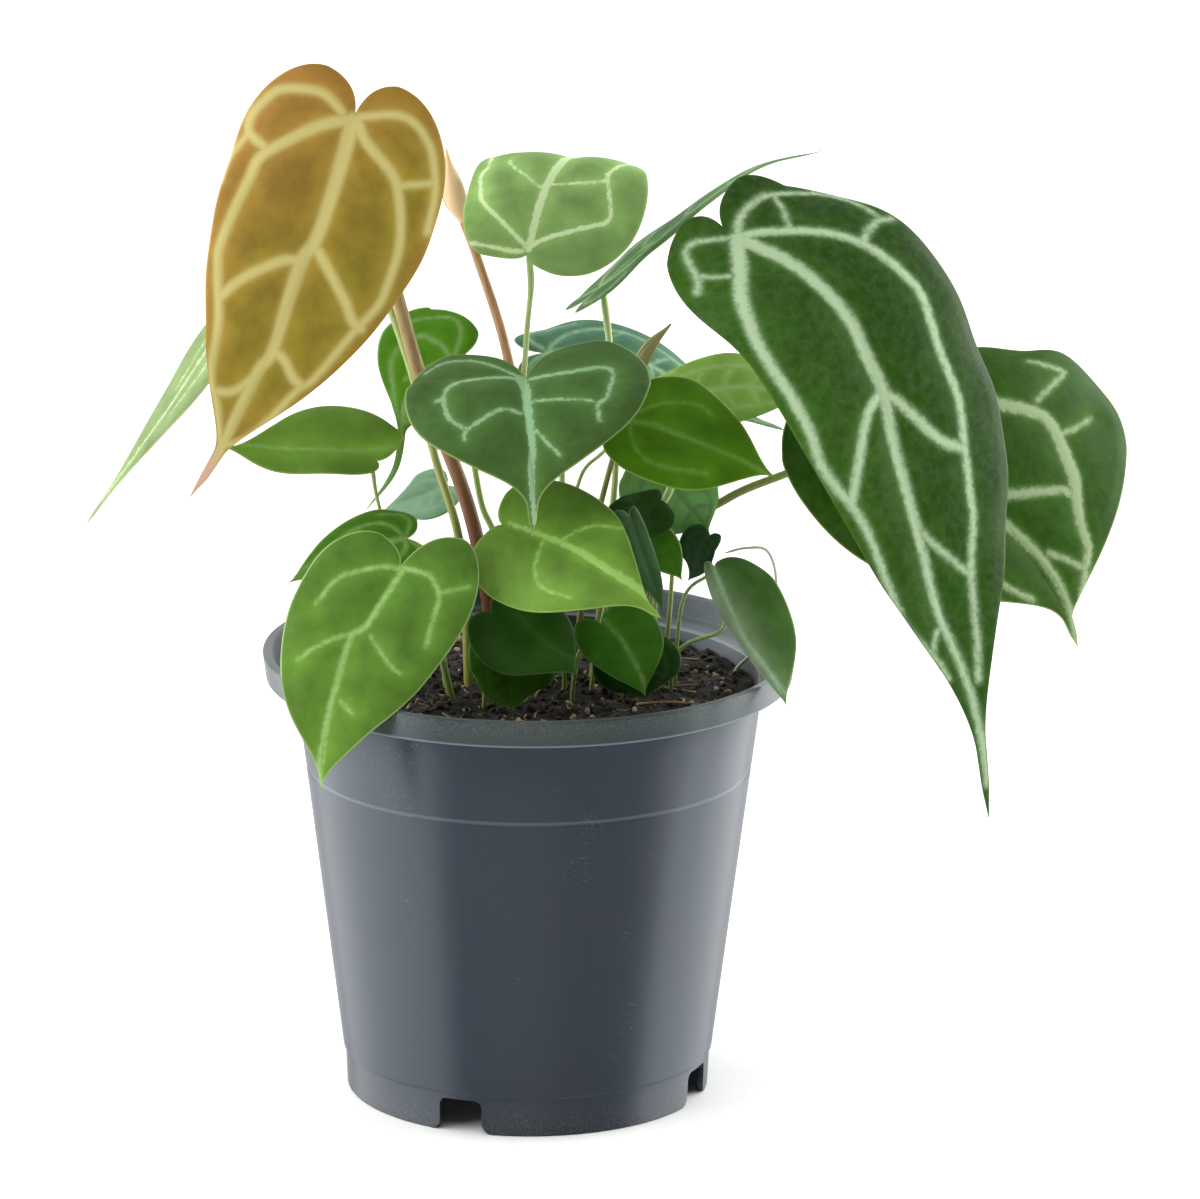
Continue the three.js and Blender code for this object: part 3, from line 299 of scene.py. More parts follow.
# Veins of the leaves that show them well, as (width at the start, width at the end, points).
# A point is (millimetres along the midrib, millimetres out from it, to the left if positive).
VEINS = {
    "leaf_bronze": [
        (3.3, 1.8, [(1.5, 0), (14.5, -0.5), (28.5, -0.5), (33.5, 1), (43.5, 1), (55.5, 0), (60, 1),
         (74, 0.5), (89.5, -1)]),
        (2.4, 1.3, [(2, 1.5), (3.5, 4.5), (7, 9), (15, 16.5), (20, 17.5), (35.5, 19), (41, 18),
         (52, 14), (63.5, 10.5), (67.5, 8.5), (70, 6), (78, 0.5)]),
        (1.8, 1.8, [(0.5, 3), (-1.5, 6.5), (-2, 10), (0, 17), (4, 20), (7.5, 21.5), (11, 21),
         (13, 16.5)]),
        (1.1, 1.1, [(11, 21), (18, 23.5), (23, 23.5)]),
        (2.0, 2.0, [(34, 1.5), (35.5, 5.5), (42, 12), (47.5, 15)]),
        (2.0, 2.0, [(31, -2), (39.5, -11), (42.5, -13.5), (43.5, -16)]),
        (1.8, 1.8, [(60.5, 1), (64.5, 2.5), (67, 4.5), (68, 7)]),
        (1.8, 1.8, [(54.5, -0.5), (55.5, -3.5), (58, -6.5), (58.5, -8.5)]),
        (2.2, 1.1, [(1.5, -1), (5, -4), (9.5, -11), (13, -14), (23, -18), (33.5, -18.5), (38, -18),
         (45.5, -14.5), (57, -10.5), (60, -8.5), (70, -5.5), (75, -3), (77.5, -0.5)]),
        (1.6, 1.6, [(0.5, -1), (-2.5, -8.5), (-2, -13), (0.5, -16.5), (3.5, -19), (11.5, -22.5),
         (19.5, -23.5)]),
        (1.3, 1.3, [(9, -21.5), (11.5, -15), (12.5, -13.5)]),
    ],
    "leaf_great": [
        (3.2, 1.3, [(4.5, 0.5), (14, 0.5), (26, 1), (36.5, 0), (43, 0), (53, -1), (63.5, 0),
         (76.5, 0), (89, 0), (102.5, 1), (109.5, 0.5), (123, 0), (136.5, -0.5), (142, -0.5)]),
        (2.0, 1.1, [(4, 0), (6.5, -3), (11.5, -7), (20.5, -12.5), (33, -17), (38, -18), (48.5, -17),
         (59, -18), (64, -17.5), (68.5, -16.5), (80, -14.5), (86, -13.5), (96.5, -9.5), (109, -6),
         (119.5, -2.5)]),
        (0.6, 0.5, [(7, -20), (13, -22.3), (21.2, -22)]),
        (0.5, 0.4, [(0.5, -13.5), (5, -11.5), (11, -7)]),
        (1.5, 0.7, [(3, -1), (0.5, -4.5), (-0.5, -9), (0.5, -13.5), (7, -20)]),
        (1.1, 0.7, [(23, -14), (21.5, -17.5), (21, -21), (22, -24)]),
        (2.7, 0.9, [(5, 1.5), (10.5, 7.5), (17, 14.5), (23.5, 18.5), (30.5, 21), (39, 21),
         (46.5, 19.5), (56.5, 18), (62, 18), (67.5, 16.5), (75.5, 13), (85.5, 11), (98, 10),
         (103, 9.5), (112.5, 5.5), (117, 4.5)]),
        (0.9, 0.9, [(4, 1), (0, 7), (-0.5, 10), (1, 12), (6.5, 15), (9, 18)]),
        (0.7, 0.7, [(6, 14.5), (8.5, 13), (11.5, 10.5)]),
        (1.8, 1.8, [(53.5, 0.5), (55.5, 3.5), (59.5, 6.5), (73, 13.5)]),
        (1.8, 1.8, [(52.5, -0.5), (56.5, -4), (66.5, -10), (70, -14.5)]),
        (1.1, 1.1, [(82.5, -0.5), (86.5, -2), (97.5, -9)]),
        (0.7, 0.7, [(106, 2.5), (109, 5), (112, 6)]),
    ],
    "leaf_pale_back": [
        (1.6, 2.0, [(1.5, 0), (16.5, -1.5), (30.5, 0)]),
        (2.0, 0.8, [(30.5, 0), (48, 0), (64, 0)]),
        (0.9, 0.6, [(24.5, 10.5), (37, 13), (50, 8), (61, 1)]),
        (0.9, 0.6, [(21, -16.5), (35, -17), (50, -10), (61, -1)]),
        (1.1, 0.9, [(2, -1), (9, -13), (14, -16), (18.5, -17.5), (21, -16.5)]),
        (0.7, 0.7, [(17, -3), (22, -11), (24, -12)]),
        (1.1, 0.9, [(0.5, -1), (-0.5, -5), (-1, -14)]),
        (1.1, 0.9, [(2.5, 0.5), (5, 3), (12, 13), (14, 14.5), (16, 14), (24.5, 10.5)]),
        (0.7, 0.7, [(18.5, -0.5), (21, 7.5), (22.5, 10.5)]),
    ],
    "leaf_centre": [
        (2.4, 1.1, [(0.5, 1), (6.5, -0.5), (22, -0.5), (28.5, 0.5), (41, -0.5)]),
        (1.1, 0.9, [(1, 1), (0.5, 4.5), (2, 13), (3.5, 16), (5.5, 17.5), (11, 17), (15, 13.5)]),
        (0.7, 0.7, [(7, 17.5), (7, 19.5)]),
        (0.9, 0.9, [(12, 1), (11, 3.5), (11, 6), (15.5, 13.5), (17.5, 14)]),
        (0.9, 0.7, [(-0.5, 2), (-5.5, 10.5), (-6.5, 15), (-6, 19.5), (-3.5, 22.5)]),
        (1.1, 0.9, [(1, -1), (1, -10), (0.5, -19), (9, -19), (12.5, -18), (14, -16), (18.5, -16)]),
        (0.7, 0.7, [(9, -1.5), (11.5, -11.5), (13, -15.5)]),
        (0.7, 0.7, [(16, -1), (22.5, -4.5), (25.5, -6.5)]),
    ],
    "leaf_far_right": [
        (2.6, 3.2, [(16.5, -15), (23, -22), (28, -23.5), (39.5, -21)]),
        (3.2, 1.1, [(39.5, -21), (50.5, -15), (55, -13.5), (62.5, -5.5)]),
        (1.1, 0.9, [(20.5, -24), (19, -34), (18.5, -36)]),
        (0.9, 0.7, [(18.5, -36), (17, -34.5), (14, -31.5), (11, -28.5)]),
        (1.1, 0.7, [(30, -24), (31, -31), (31, -34.5)]),
        (2.2, 1.6, [(34, -3.5), (40.5, -16), (42.5, -17.5)]),
        (2.2, 1.3, [(38, 0.5), (47, -2), (57, -2.5), (70, 0)]),
        (1.1, 1.1, [(50.5, -4.5), (54.5, -7.5), (58, -9.5)]),
        (1.1, 1.1, [(49, 10), (52, 8.5), (56.5, 5.5)]),
        (2.6, 2.2, [(0.5, 0), (20, 0), (38, 0.5)]),
        (1.6, 1.1, [(1, 2), (8, 14), (18, 22), (30, 24), (45, 18), (58, 9), (66, 2)]),
        (1.6, 2.6, [(1, -2), (6, -9), (16.5, -15)]),
    ],
    "leaf_far_left": [
        (1.2, 0.5, [(1, 0), (40, 0), (85, 0)]),
        (0.7, 0.4, [(1, -1), (10, -6), (30, -6), (60, -2.5)]),
        (0.5, 0.3, [(1, 1), (8, 3.5), (28, 3.5), (55, 1.5)]),
        (1.6, 0.9, [(15, -0.5), (20, -3), (24, -6)]),
    ],
    "leaf_mid_right": [
        (1.1, 0.9, [(0.5, -0.5), (6, -1), (18.5, 0.5), (24.5, 1), (34, 0.5)]),
        (0.7, 0.7, [(1.5, -3.5), (4.5, -6), (9.5, -8), (14, -8.5), (17.5, -7)]),
        (0.7, 0.7, [(0.5, 1), (2.5, 4.5), (5, 6.5), (9.5, 8), (20, 7)]),
    ],
    "leaf_front_left": [
        (1.2, 1.2, [(0, -1), (14.5, -0.5), (17, 0.5), (19, 1.5), (33, 0), (48, 0.5), (52.5, 0)]),
        (0.9, 0.7, [(0.5, -0.5), (2, 3.5), (7.5, 9.5), (10, 11), (15.5, 12)]),
        (0.7, 0.7, [(17.5, 0.5), (21.5, 5.5), (27.5, 10.5)]),
        (0.9, 0.7, [(0, -1), (-1, -7), (0.5, -9.5), (2.5, -11.5), (13.5, -14.5)]),
        (0.4, 0.4, [(1.5, -11), (-1, -13.5), (-3, -16)]),
        (0.6, 0.6, [(17, -2.5), (21.5, -9), (22.5, -12)]),
        (0.6, 0.6, [(33.5, -2), (35.5, -5)]),
    ],
    "leaf_lime_front": [
        (1.1, 2.2, [(1.5, -1), (16.5, -2.5), (28, -2), (40.5, -2.5)]),
        (0.7, 0.7, [(10.5, -1), (11.5, 3), (14, 7.5), (18, 9.5), (24.5, 8.5)]),
        (0.7, 0.7, [(14, -2.5), (16, -7.5), (19, -10.5), (23.5, -12)]),
    ],
    "leaf_left": [
        (0.6, 0.6, [(-4, 5), (9.5, 0), (25.5, 1), (30.5, 1)]),
    ],
    "leaf_low_centre": [
        (0.7, 0.7, [(0, -1), (15.5, -1), (18.5, 0)]),
    ],
    "leaf_low_left": [
        (0.7, 0.4, [(5, -4), (15, -2), (22, -3)]),
    ],
    "leaf_folded_rim": [
        (0.9, 0.9, [(-5, -0.5), (9.5, 1.5), (22, 3), (35.5, -0.5)]),
    ],
}


def tone(blade, second, vein, under, lean=(0.3, 0.2, 0.0), soft=1.1, feather=0.4, net=0.3,
         rim="9aa860", stalk=("7c8a48", "9cb068"), tip=None, hem=0.0, glow=0.12):
    """The colours and vein edges of one leaf, chosen so that they look right in the stage's
    light: the blade, a second tone that it shades into, the veins and the underside. lean says
    how the second tone comes in: at the joint, how much more towards the tip, and how much more
    towards the left. feather is how ragged the veins' edges are, and soft how blurred, in
    millimetres. net is how much of the finest veins shows, glow how pale the blade turns beside
    a vein, and hem how much of the second tone lies along the margin."""
    return {"blade": blade, "second": second, "vein": vein, "under": under, "lean": lean,
            "soft": soft, "feather": feather, "net": net, "rim": rim, "stalk": stalk,
            "tip": tip, "hem": hem, "glow": glow}


TONES = {
    "leaf_bronze": tone("7c6d21", "936830", "bab06f", "947a3c", lean=(0.42, -0.75, 0.35), soft=1.3,
                        feather=0.2, net=0.1, rim="a37f3c", stalk=("6e3420", "9c8850"),
                        tip="c29b84", hem=0.35, glow=0.3),
    "leaf_pale_back": tone("678a47", "7b9958", "bfd6a1", "749657", soft=0.45, feather=0.3,
                           stalk=("8c9b55", "a7ba7d")),
    "leaf_far_left": tone("5e763d", "74835d", "a5b688", "88a35f", soft=0.5, feather=0.5,
                          rim="a7b27d", stalk=("7f8334", "98a75d")),
    "leaf_rising": tone("375a2b", "496b3f", "809f69", "618255", stalk=("8c9b55", "a7ba7d")),
    "leaf_centre": tone("3e5c29", "335017", "88ab80", "618055", lean=(0.1, 0.8, 0.0), glow=0.2,
                        soft=0.5, stalk=("716f34", "909f5d")),
    "leaf_great": tone("2d5108", "183602", "abc39c", "51753c", lean=(0.45, -0.1, -0.5), soft=1.3,
                       feather=0.6, net=0.5, glow=0.35, rim="4c5a30", stalk=("7f6938", "90a155")),
    "leaf_far_right": tone("2a4f02", "203f02", "94a97e", "61843c", feather=0.6, glow=0.3,
                           stalk=("635f2b", "7f8845")),
    "leaf_mid_right": tone("456f09", "3b6203", "678e3c", "61843c"),
    "leaf_lime_right": tone("739842", "86a654", "a7be7d", "90ab65", stalk=("8ca355", "abc27d")),
    "leaf_arched": tone("406952", "4f735a", "94b290", "719075", feather=0.4),
    "leaf_front_left": tone("486b21", "5c8028", "8eb267", "71904d", lean=(0.0, 0.7, 0.1),
                            rim="a7be84"),
    "leaf_front_left_rear": tone("335e0b", "3e6a15", "75984d", "61843c"),
    "leaf_lime_front": tone("507521", "638634", "90b65d", "7b9b4d", lean=(0.6, 0.2, 0.6),
                            soft=0.6, rim="9bb265", stalk=("7f9445", "98b265")),
    "leaf_low_left": tone("2a5014", "22420f", "41612f", "41612f", rim="51713c"),
    "leaf_low_left_under": tone("315904", "274c04", "416526", "41612f", rim="51713c"),
    "leaf_low_centre": tone("32610f", "3b6f18", "799b59", "51753c", rim="618845"),
    "leaf_low_centre_under": tone("193c0e", "112f06", "2f5121", "41612f", rim="41612f"),
    "leaf_folded_rim": tone("3c6020", "69795e", "88a384", "719065", lean=(0.4, 0.0, 0.9)),
    "leaf_round": tone("749e62", "5f8b4d", "69865d", "628e4c"),
    "leaf_dark_small": tone("234011", "163306", "2d461e", "2f5126", rim="2f5126"),
    "leaf_inner_small": tone("34640a", "285404", "496d26", "597f30"),
    "leaf_dark_narrow": tone("1e421c", "18340e", "304c29", "416138", rim="618055"),
    "leaf_dark_right": tone("1e3c1f", "143017", "374c32", "2f5138", rim="416145"),
    "leaf_left": tone("5c802a", "507327", "799b55", "719055", lean=(0.3, 0.0, -0.3)),
    "leaf_back_left": tone("3c6e03", "497812", "7b9b5d", "719055", rim="88a365"),
    "leaf_grey_small": tone("78a086", "8ab397", "a7beab", "809b88", soft=0.5),
}

SHOOTS = {
    "shoot_cream_bud": {
        "path": [(1, 3, ROOT_Z), (-2, 4, 139), (-5, 9, 165), (-12, 14, 187), (-17, 17, 200),
                 (-19, 18, 211)],
        "radii": (1.3, 1.0), "bulb_from": 0.86, "bulb_radius": 2.2,
        "stalk": ("7a4424", "b0845c"), "leaf": ("d8b890", "c4a468"),
    },
    "shoot_rolled_spike": {
        "path": [(9, 4, ROOT_Z), (13, 4, 120), (20, 2, 151), (25, 0, 168), (31, -1, 176)],
        "radii": (0.8, 0.6), "bulb_from": 0.82, "bulb_radius": 1.3,
        "stalk": ("6c6c38", "7c8048"), "leaf": ("74703c", "8c8c50"),
    },
}
DRY_STALK = [(44, 7, ROOT_Z), (46, 7, 94), (53, 6, 102), (55, 4, 115), (53, 3, 123),
             (48, 2, 124), (43, 1, 123)]
DRY_STALK_RADII = (0.45, 0.3)

# Loose dry fibres on the soil near the lip: radius and route in millimetres
FIBRES = [
    (0.35, [(12, -50, 94.5), (20, -46, 95), (27, -42, 95.5), (33, -33, 96)]),
    (0.4, [(3, -42, 96.5), (7, -45, 96), (8, -49, 94.5)]),
    (0.3, [(-27, -38, 95), (-21, -43, 95.5), (-18, -46, 95)]),
    (0.3, [(24, -30, 97), (31, -25, 96), (38, -26, 96)]),
]


class PotSettings(bpy.types.PropertyGroup):
    """Finish of the nursery pot."""
    colour: FloatVectorProperty(
        name="Plastic", description="Colour of the pot's plastic", subtype="COLOR",
        size=3, min=0, max=1, default=(0.003, 0.007, 0.014))
    segments: IntProperty(
        name="Segments", description="Steps round the pot", default=192, min=48, max=384)
    corner: FloatProperty(
        name="Corner rounding", description="Radius of the moulded corners",
        default=0.0005, min=0.0001, max=0.002, unit="LENGTH")
    # Besides scuffs and dust, this also sets how strongly the painted highlights in the groove and
    # under the lip show
    wear_and_painted_highlight: FloatProperty(
        name="Wear", description="How much scuffing and dust the plastic shows",
        default=0.5, min=0, max=1, subtype="FACTOR")


class SoilSettings(bpy.types.PropertyGroup):
    """Potting mix and the loose bits on it."""
    colour: FloatVectorProperty(
        name="Mix", description="Colour of the damp bark and peat mix", subtype="COLOR",
        size=3, min=0, max=1, default=(0.008, 0.006, 0.0045))
    crumbs: IntProperty(name="Bark crumbs", description="How many bark crumbs lie on the mix",
                        default=1500, min=0, max=3000)
    crumb_size: FloatProperty(name="Crumb size", description="Radius of the largest crumb",
                              default=0.0017, min=0.0003, max=0.004, unit="LENGTH")
    grit: IntProperty(name="Pale grit", description="How many pale grains lie on the mix",
                      default=260, min=0, max=1000)
    grit_size: FloatProperty(name="Grit size", description="Radius of the largest grain",
                             default=0.0011, min=0.0002, max=0.003, unit="LENGTH")
    straw: IntProperty(name="Straw bits", description="How many short dry fibres lie on the mix",
                       default=90, min=0, max=500)
    straw_length: FloatProperty(name="Straw length", description="Length of the longest fibre",
                                default=0.009, min=0.001, max=0.03, unit="LENGTH")
    seed: IntProperty(name="Seed", description="Changes where the loose bits lie", default=7)


class LeafSettings(bpy.types.PropertyGroup):
    """Blades and stalks."""
    thickness: FloatProperty(name="Blade thickness", description="Thickness of the leaf blades",
                             default=0.0005, min=0.0002, max=0.001, unit="LENGTH")
    cell: FloatProperty(name="Mesh step", description="Size of the blades' mesh squares",
                        default=0.00067, min=0.0003, max=0.003, unit="LENGTH")
    quilting: FloatProperty(name="Quilting", description="How far the blade swells between veins",
                            default=0.0005, min=0, max=0.002, unit="LENGTH")
    ridge: FloatProperty(name="Vein ridge", description="How far the veins stand out underneath",
                         default=0.0004, min=0, max=0.001, unit="LENGTH")
    wave: FloatProperty(name="Margin wave", description="Height of the soft waves at the margin",
                        default=0.0004, min=0, max=0.002, unit="LENGTH")
    stalk_sides: IntProperty(name="Stalk sides", description="Steps round a stalk",
                             default=16, min=6, max=32)
    swelling: FloatProperty(name="Joint swelling",
                            description="How much a stalk swells below its blade",
                            default=0.3, min=0, max=1, subtype="FACTOR")


class StageSettings(bpy.types.PropertyGroup):
    """Floor, lights and camera."""
    floor: FloatProperty(name="Floor radius", description="Radius of the plain floor",
                         default=6, min=1, max=20, unit="LENGTH")
    key: FloatProperty(name="Key light", description="Power of the large light above, in watts",
                       default=6, min=0, max=500)
    fill: FloatProperty(name="Side light", description="Power of each light at the sides, in watts",
                        default=20, min=0, max=500)
    back: FloatProperty(name="Back light", default=22, min=0, max=500,
                        description="Power of the light on the floor behind, in watts")
    surround: FloatProperty(name="Surround", description="Brightness of the pale surround",
                            default=1.3, min=0, max=5)
    focal: FloatProperty(name="Focal length", description="Lens of the camera, in millimetres",
                         default=269.4, min=20, max=600)


def linear(hex_code):
    """A colour written as sRGB hex, as the linear values that a shader takes."""
    values = [int(hex_code[i:i + 2], 16) / 255 for i in (0, 2, 4)]
    return (*(v / 12.92 if v <= 0.04045 else ((v + 0.055) / 1.055) ** 2.4 for v in values), 1.0)


def feed(tree, node, inputs):
    """Links or sets the inputs of a node."""
    for key, value in inputs.items():
        if isinstance(value, bpy.types.NodeSocket):
            tree.links.new(value, node.inputs[key])
        else:
            node.inputs[key].default_value = value


def add(tree, kind, inputs=None, **settings):
    """Adds one node with its settings, and links or sets its inputs."""
    node = tree.nodes.new(kind)
    for key, value in settings.items():
        setattr(node, key, value)
    feed(tree, node, inputs or {})
    return node


def math_node(tree, operation, a, b, c=None):
    """A sum on numbers, where c is what MULTIPLY_ADD adds."""
    inputs = {0: a, 1: b} if c is None else {0: a, 1: b, 2: c}
    return add(tree, "ShaderNodeMath", inputs, operation=operation).outputs[0]


def math_vector(tree, operation, a, b):
    return add(tree, "ShaderNodeVectorMath", {0: a, 1: b}, operation=operation).outputs[0]


def ranged(tree, value, start, end, low=0.0, high=1.0, kind="LINEAR"):
    """Goes from start to end while the value goes from low to high."""
    return add(tree, "ShaderNodeMapRange", {
        "Value": value, "From Min": low, "From Max": high, "To Min": start, "To Max": end,
    }, interpolation_type=kind).outputs["Result"]


def link(obj):
    """Puts an object in the scene."""
    bpy.context.scene.collection.objects.link(obj)
    return obj


def make_object(name, points, faces, materials, smooth_angle=60):
    """A mesh object from points in the plant's millimetres, placed in the frame."""
    mesh = bpy.data.meshes.new(name)
    mesh.from_pydata((np.asarray(points, float) * MM + np.array(AXIS)).tolist(), [], faces)
    mesh.shade_smooth()
    mesh.set_sharp_from_angle(angle=math.radians(smooth_angle))
    for material in materials:
        mesh.materials.append(material)
    return link(bpy.data.objects.new(name, mesh))


def finish_piece(obj, *nodes):
    """The piece rides on the plant's one body, and its CAD nodes are hidden."""
    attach(obj, "root")
    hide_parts(*nodes)


def baked(obj, name):
    """The object's modifiers made final, as a new object with a plain mesh."""
    bpy.context.view_layer.update()
    graph = bpy.context.evaluated_depsgraph_get()
    mesh = bpy.data.meshes.new_from_object(obj.evaluated_get(graph), depsgraph=graph)
    mesh.name = name
    bpy.data.objects.remove(obj)
    return link(bpy.data.objects.new(name, mesh))


def unit(vectors):
    """The same directions at length 1."""
    return vectors / np.linalg.norm(vectors, axis=-1, keepdims=True)


def smooth_curve(points, t):
    """Catmull-Rom curve through the points, at shares t of the way by point number."""
    points = np.asarray(points, float)
    last = len(points) - 1
    ends = np.concatenate([[2 * points[0] - points[1]], points, [2 * points[-1] - points[-2]]])
    t = np.asarray(t, float) * last
    i = np.clip(np.floor(t).astype(int), 0, last - 1)
    u = (t - i)[..., None]
    p0, p1, p2, p3 = ends[i], ends[i + 1], ends[i + 2], ends[i + 3]
    m1 = (p2 - p0) / 2
    m2 = (p3 - p1) / 2
    return ((2 * u**3 - 3 * u * u + 1) * p1 + (u**3 - 2 * u * u + u) * m1
            + (3 * u * u - 2 * u**3) * p2 + (u**3 - u * u) * m2)


def even(points, count):
    """count + 1 points along a polyline at even steps of its length."""
    points = np.asarray(points, float)
    steps = np.linalg.norm(np.diff(points, axis=0), axis=1)
    along = np.concatenate([[0], np.cumsum(steps)])
    targets = np.linspace(0, along[-1], count + 1)
    return np.stack([np.interp(targets, along, column) for column in points.T], 1)


def polyline_length(points):
    """Length of a polyline."""
    return float(np.linalg.norm(np.diff(points, axis=0), axis=1).sum())


def path_points(path, step=1.0):
    """Evenly spaced points on the smooth curve through a route's points."""
    dense = smooth_curve(path, np.linspace(0, 1, 40 * len(path)))
    return even(dense, max(4, math.ceil(polyline_length(dense) / step)))


def relaxed(points, reach=5):
    """The same polyline with its small kinks eased out."""
    start, end = np.repeat(points[:1], reach, 0), np.repeat(points[-1:], reach, 0)
    window = np.hanning(2 * reach + 3)[1:-1]
    window /= window.sum()
    padded = np.concatenate([start, points, end])
    eased = np.stack([np.convolve(column, window, "valid") for column in padded.T], 1)
    eased[0], eased[-1] = points[0], points[-1]
    return eased


# Blades

class Surface:
    """Places flat (s, t) points of a blade in space: s along the midrib, t out to its left."""

    def __init__(self, spec):
        self.spec = spec
        self.rib = smooth_curve(spec["rib"], np.linspace(0, 1, 401))
        steps = np.linalg.norm(np.diff(self.rib, axis=0), axis=1)
        self.along = np.concatenate([[0], np.cumsum(steps)])
        self.length = self.along[-1]
        self.tangents = unit(np.gradient(self.rib, axis=0))
        self.chord = unit(np.array(spec["rib"][-1], float) - np.array(spec["rib"][0], float))

    def at(self, s, t):
        """Where flat points lie in space: each half rolls back from its fold along an arc."""
        spec = self.spec
        sign = np.where(t >= 0, 1.0, -1.0)
        t = np.abs(t)
        s_on = np.clip(s, 0, self.length)
        centre = np.stack([np.interp(s_on, self.along, c) for c in self.rib.T], -1)
        tangent = np.stack([np.interp(s_on, self.along, c) for c in self.tangents.T], -1)
        tangent = unit(tangent * (1 - spec["even"]) + self.chord * spec["even"])
        u = (s_on / self.length)[..., None]
        face = np.array(spec["face"], float) * (1 - u) + np.array(spec["face_tip"], float) * u
        out = unit(np.cross(tangent, face))
        up = np.cross(out, tangent)
        width = np.where(sign > 0, spec["left"]["width"], spec["right"]["width"])
        fold = math.radians(spec["fold"])
        bend = math.radians(spec["curl"]) / width
        x = (math.sin(fold) - np.sin(fold - bend * t)) / bend
        z = (np.cos(fold - bend * t) - math.cos(fold)) / bend
        return (centre + tangent * np.minimum(s, 0)[..., None]
                + out * (sign * x)[..., None] + up * z[..., None])


def cubic(controls):
    """Dense points along a flat cubic curve."""
    a, b, c, d = (np.array(p, float) for p in controls)
    t = np.linspace(0, 1, 301)[:, None]
    return (1 - t)**3 * a + 3 * (1 - t)**2 * t * b + 3 * (1 - t) * t * t * c + t**3 * d


def margin_curves(side, length, tail, tail_width):
    """Margin of one half of a blade laid flat: from the drip tip's root, and round the lobe."""
    width, lobe, lobe_out = side["width"], side["lobe"], side["lobe_out"]
    end = length - tail
    broad = side["widest"] * length
    fore = cubic([
        (end, tail_width if tail else 0),
        (end - side["taper"] * (end - broad), TAIL_FLARE * tail_width if tail else 0),
        (broad + side["shoulder"] * (end - broad), width),
        (broad, width),
    ])
    back = cubic([
        (broad, width),
        (broad - LOBE_SPRING * (broad + lobe), width),
        (-lobe, width * (lobe_out + LOBE_ROUND * (1 - lobe_out))),
        (-lobe, lobe_out * width),
    ])
    return fore, back


def blade_margins(spec, length, cell):
    """Both halves' margins with the same number of points, from the tip to the lobes' backs."""
    tail, tail_width = spec["tail"], spec["tail_width"]
    curves = [margin_curves(spec[k], length, tail, tail_width) for k in ("left", "right")]
    fore, back = (max(6, math.ceil(max(polyline_length(c[k]) for c in curves) / cell))
                  for k in (0, 1))
    edges = []
    for pair in curves:
        edge = np.concatenate([even(pair[0], fore)[1:], even(pair[1], back)[1:]])
        if tail:
            s = np.linspace(length, length - tail, max(4, math.ceil(tail / cell)) + 1)[1:]
            t = np.interp(length - s, [0, tail / 2, tail],
                          [0, TAIL_MIDDLE * tail_width, tail_width])
            edge = np.concatenate([np.stack([s, t], 1), edge])
        edges.append(edge)
    return edges


def blade_grid(spec, length, cell):
    """Flat points, faces and border of a blade: ribs run from the midrib out to the margin."""
    edges = blade_margins(spec, length, cell)
    hubs = np.maximum(0, (edges[0][:, 0] + edges[1][:, 0]) / 2
                      - RIB_SWEEP * (edges[0][:, 1] + edges[1][:, 1]) / 2)
    rows = len(hubs)
    joint_row = int(np.argmax(hubs == 0))
    widest = max(spec["left"]["width"], spec["right"]["width"])
    across = max(5, math.ceil(widest / cell))
    v = np.linspace(0, 1, across + 1)[1:]
    fan = np.clip((np.arange(rows) - joint_row) / (rows - 1 - joint_row), 0, 1)[:, None] ** 2
    hub = hubs[:, None]
    hub_ids = np.minimum(np.arange(rows), joint_row) + 1
    flat = [np.array([[length, 0.0]]), np.stack([hubs[:joint_row + 1], np.zeros(joint_row + 1)], 1)]
    ids = np.zeros((2, rows, across + 1), int)
    start = joint_row + 2
    for which, (edge, sign) in enumerate(zip(edges, (1, -1))):
        side = spec["left" if sign > 0 else "right"]
        s, t = edge[:, :1], edge[:, 1:]
        control_s = (hub + s) / 2 * (1 - fan) - LOBE_SWEEP * side["lobe"] * fan
        control_t = t / 2 * (1 - fan) + SINUS_PINCH * side["lobe_out"] * side["width"] * fan
        grid_s = (1 - v)**2 * hub + 2 * v * (1 - v) * control_s + v * v * s
        grid_t = sign * (2 * v * (1 - v) * control_t + v * v * t)
        flat.append(np.stack([grid_s.ravel(), grid_t.ravel()], 1))
        ids[which, :, 0] = hub_ids
        ids[which, :, 1:] = start + np.arange(rows * across).reshape(rows, across)
        start += rows * across
    faces = []
    for which in (0, 1):
        grid = ids[which]
        corners = [grid[:-1, :-1], grid[:-1, 1:], grid[1:, 1:], grid[1:, :-1]]
        quads = np.stack([c.ravel() for c in corners], 1)
        tips = np.stack([np.zeros(across, int), grid[0, 1:], grid[0, :-1]], 1)
        if not which:
            quads, tips = quads[:, ::-1], tips[:, ::-1]
        for quad in quads.tolist():
            faces.append(list(dict.fromkeys(quad)))
        faces.extend(tips.tolist())
    left, right = ids
    border = np.concatenate([[0], left[:, -1], left[-1, -2:0:-1], [left[-1, 0]],
                             right[-1, 1:-1], right[::-1, -1]])
    return np.concatenate(flat), faces, border[::-1].tolist(), edges


def nearest(flat, samples, reach=None):
    """Distance from each flat point to the nearest sample, less the sample's own reach."""
    result = np.empty(len(flat))
    reach = np.zeros(len(samples)) if reach is None else reach
    for i in range(0, len(flat), 2000):
        gap = flat[i:i + 2000, None, :] - samples[None, :, :]
        result[i:i + 2000] = (np.sqrt((gap ** 2).sum(-1)) - reach).min(1)
    return result


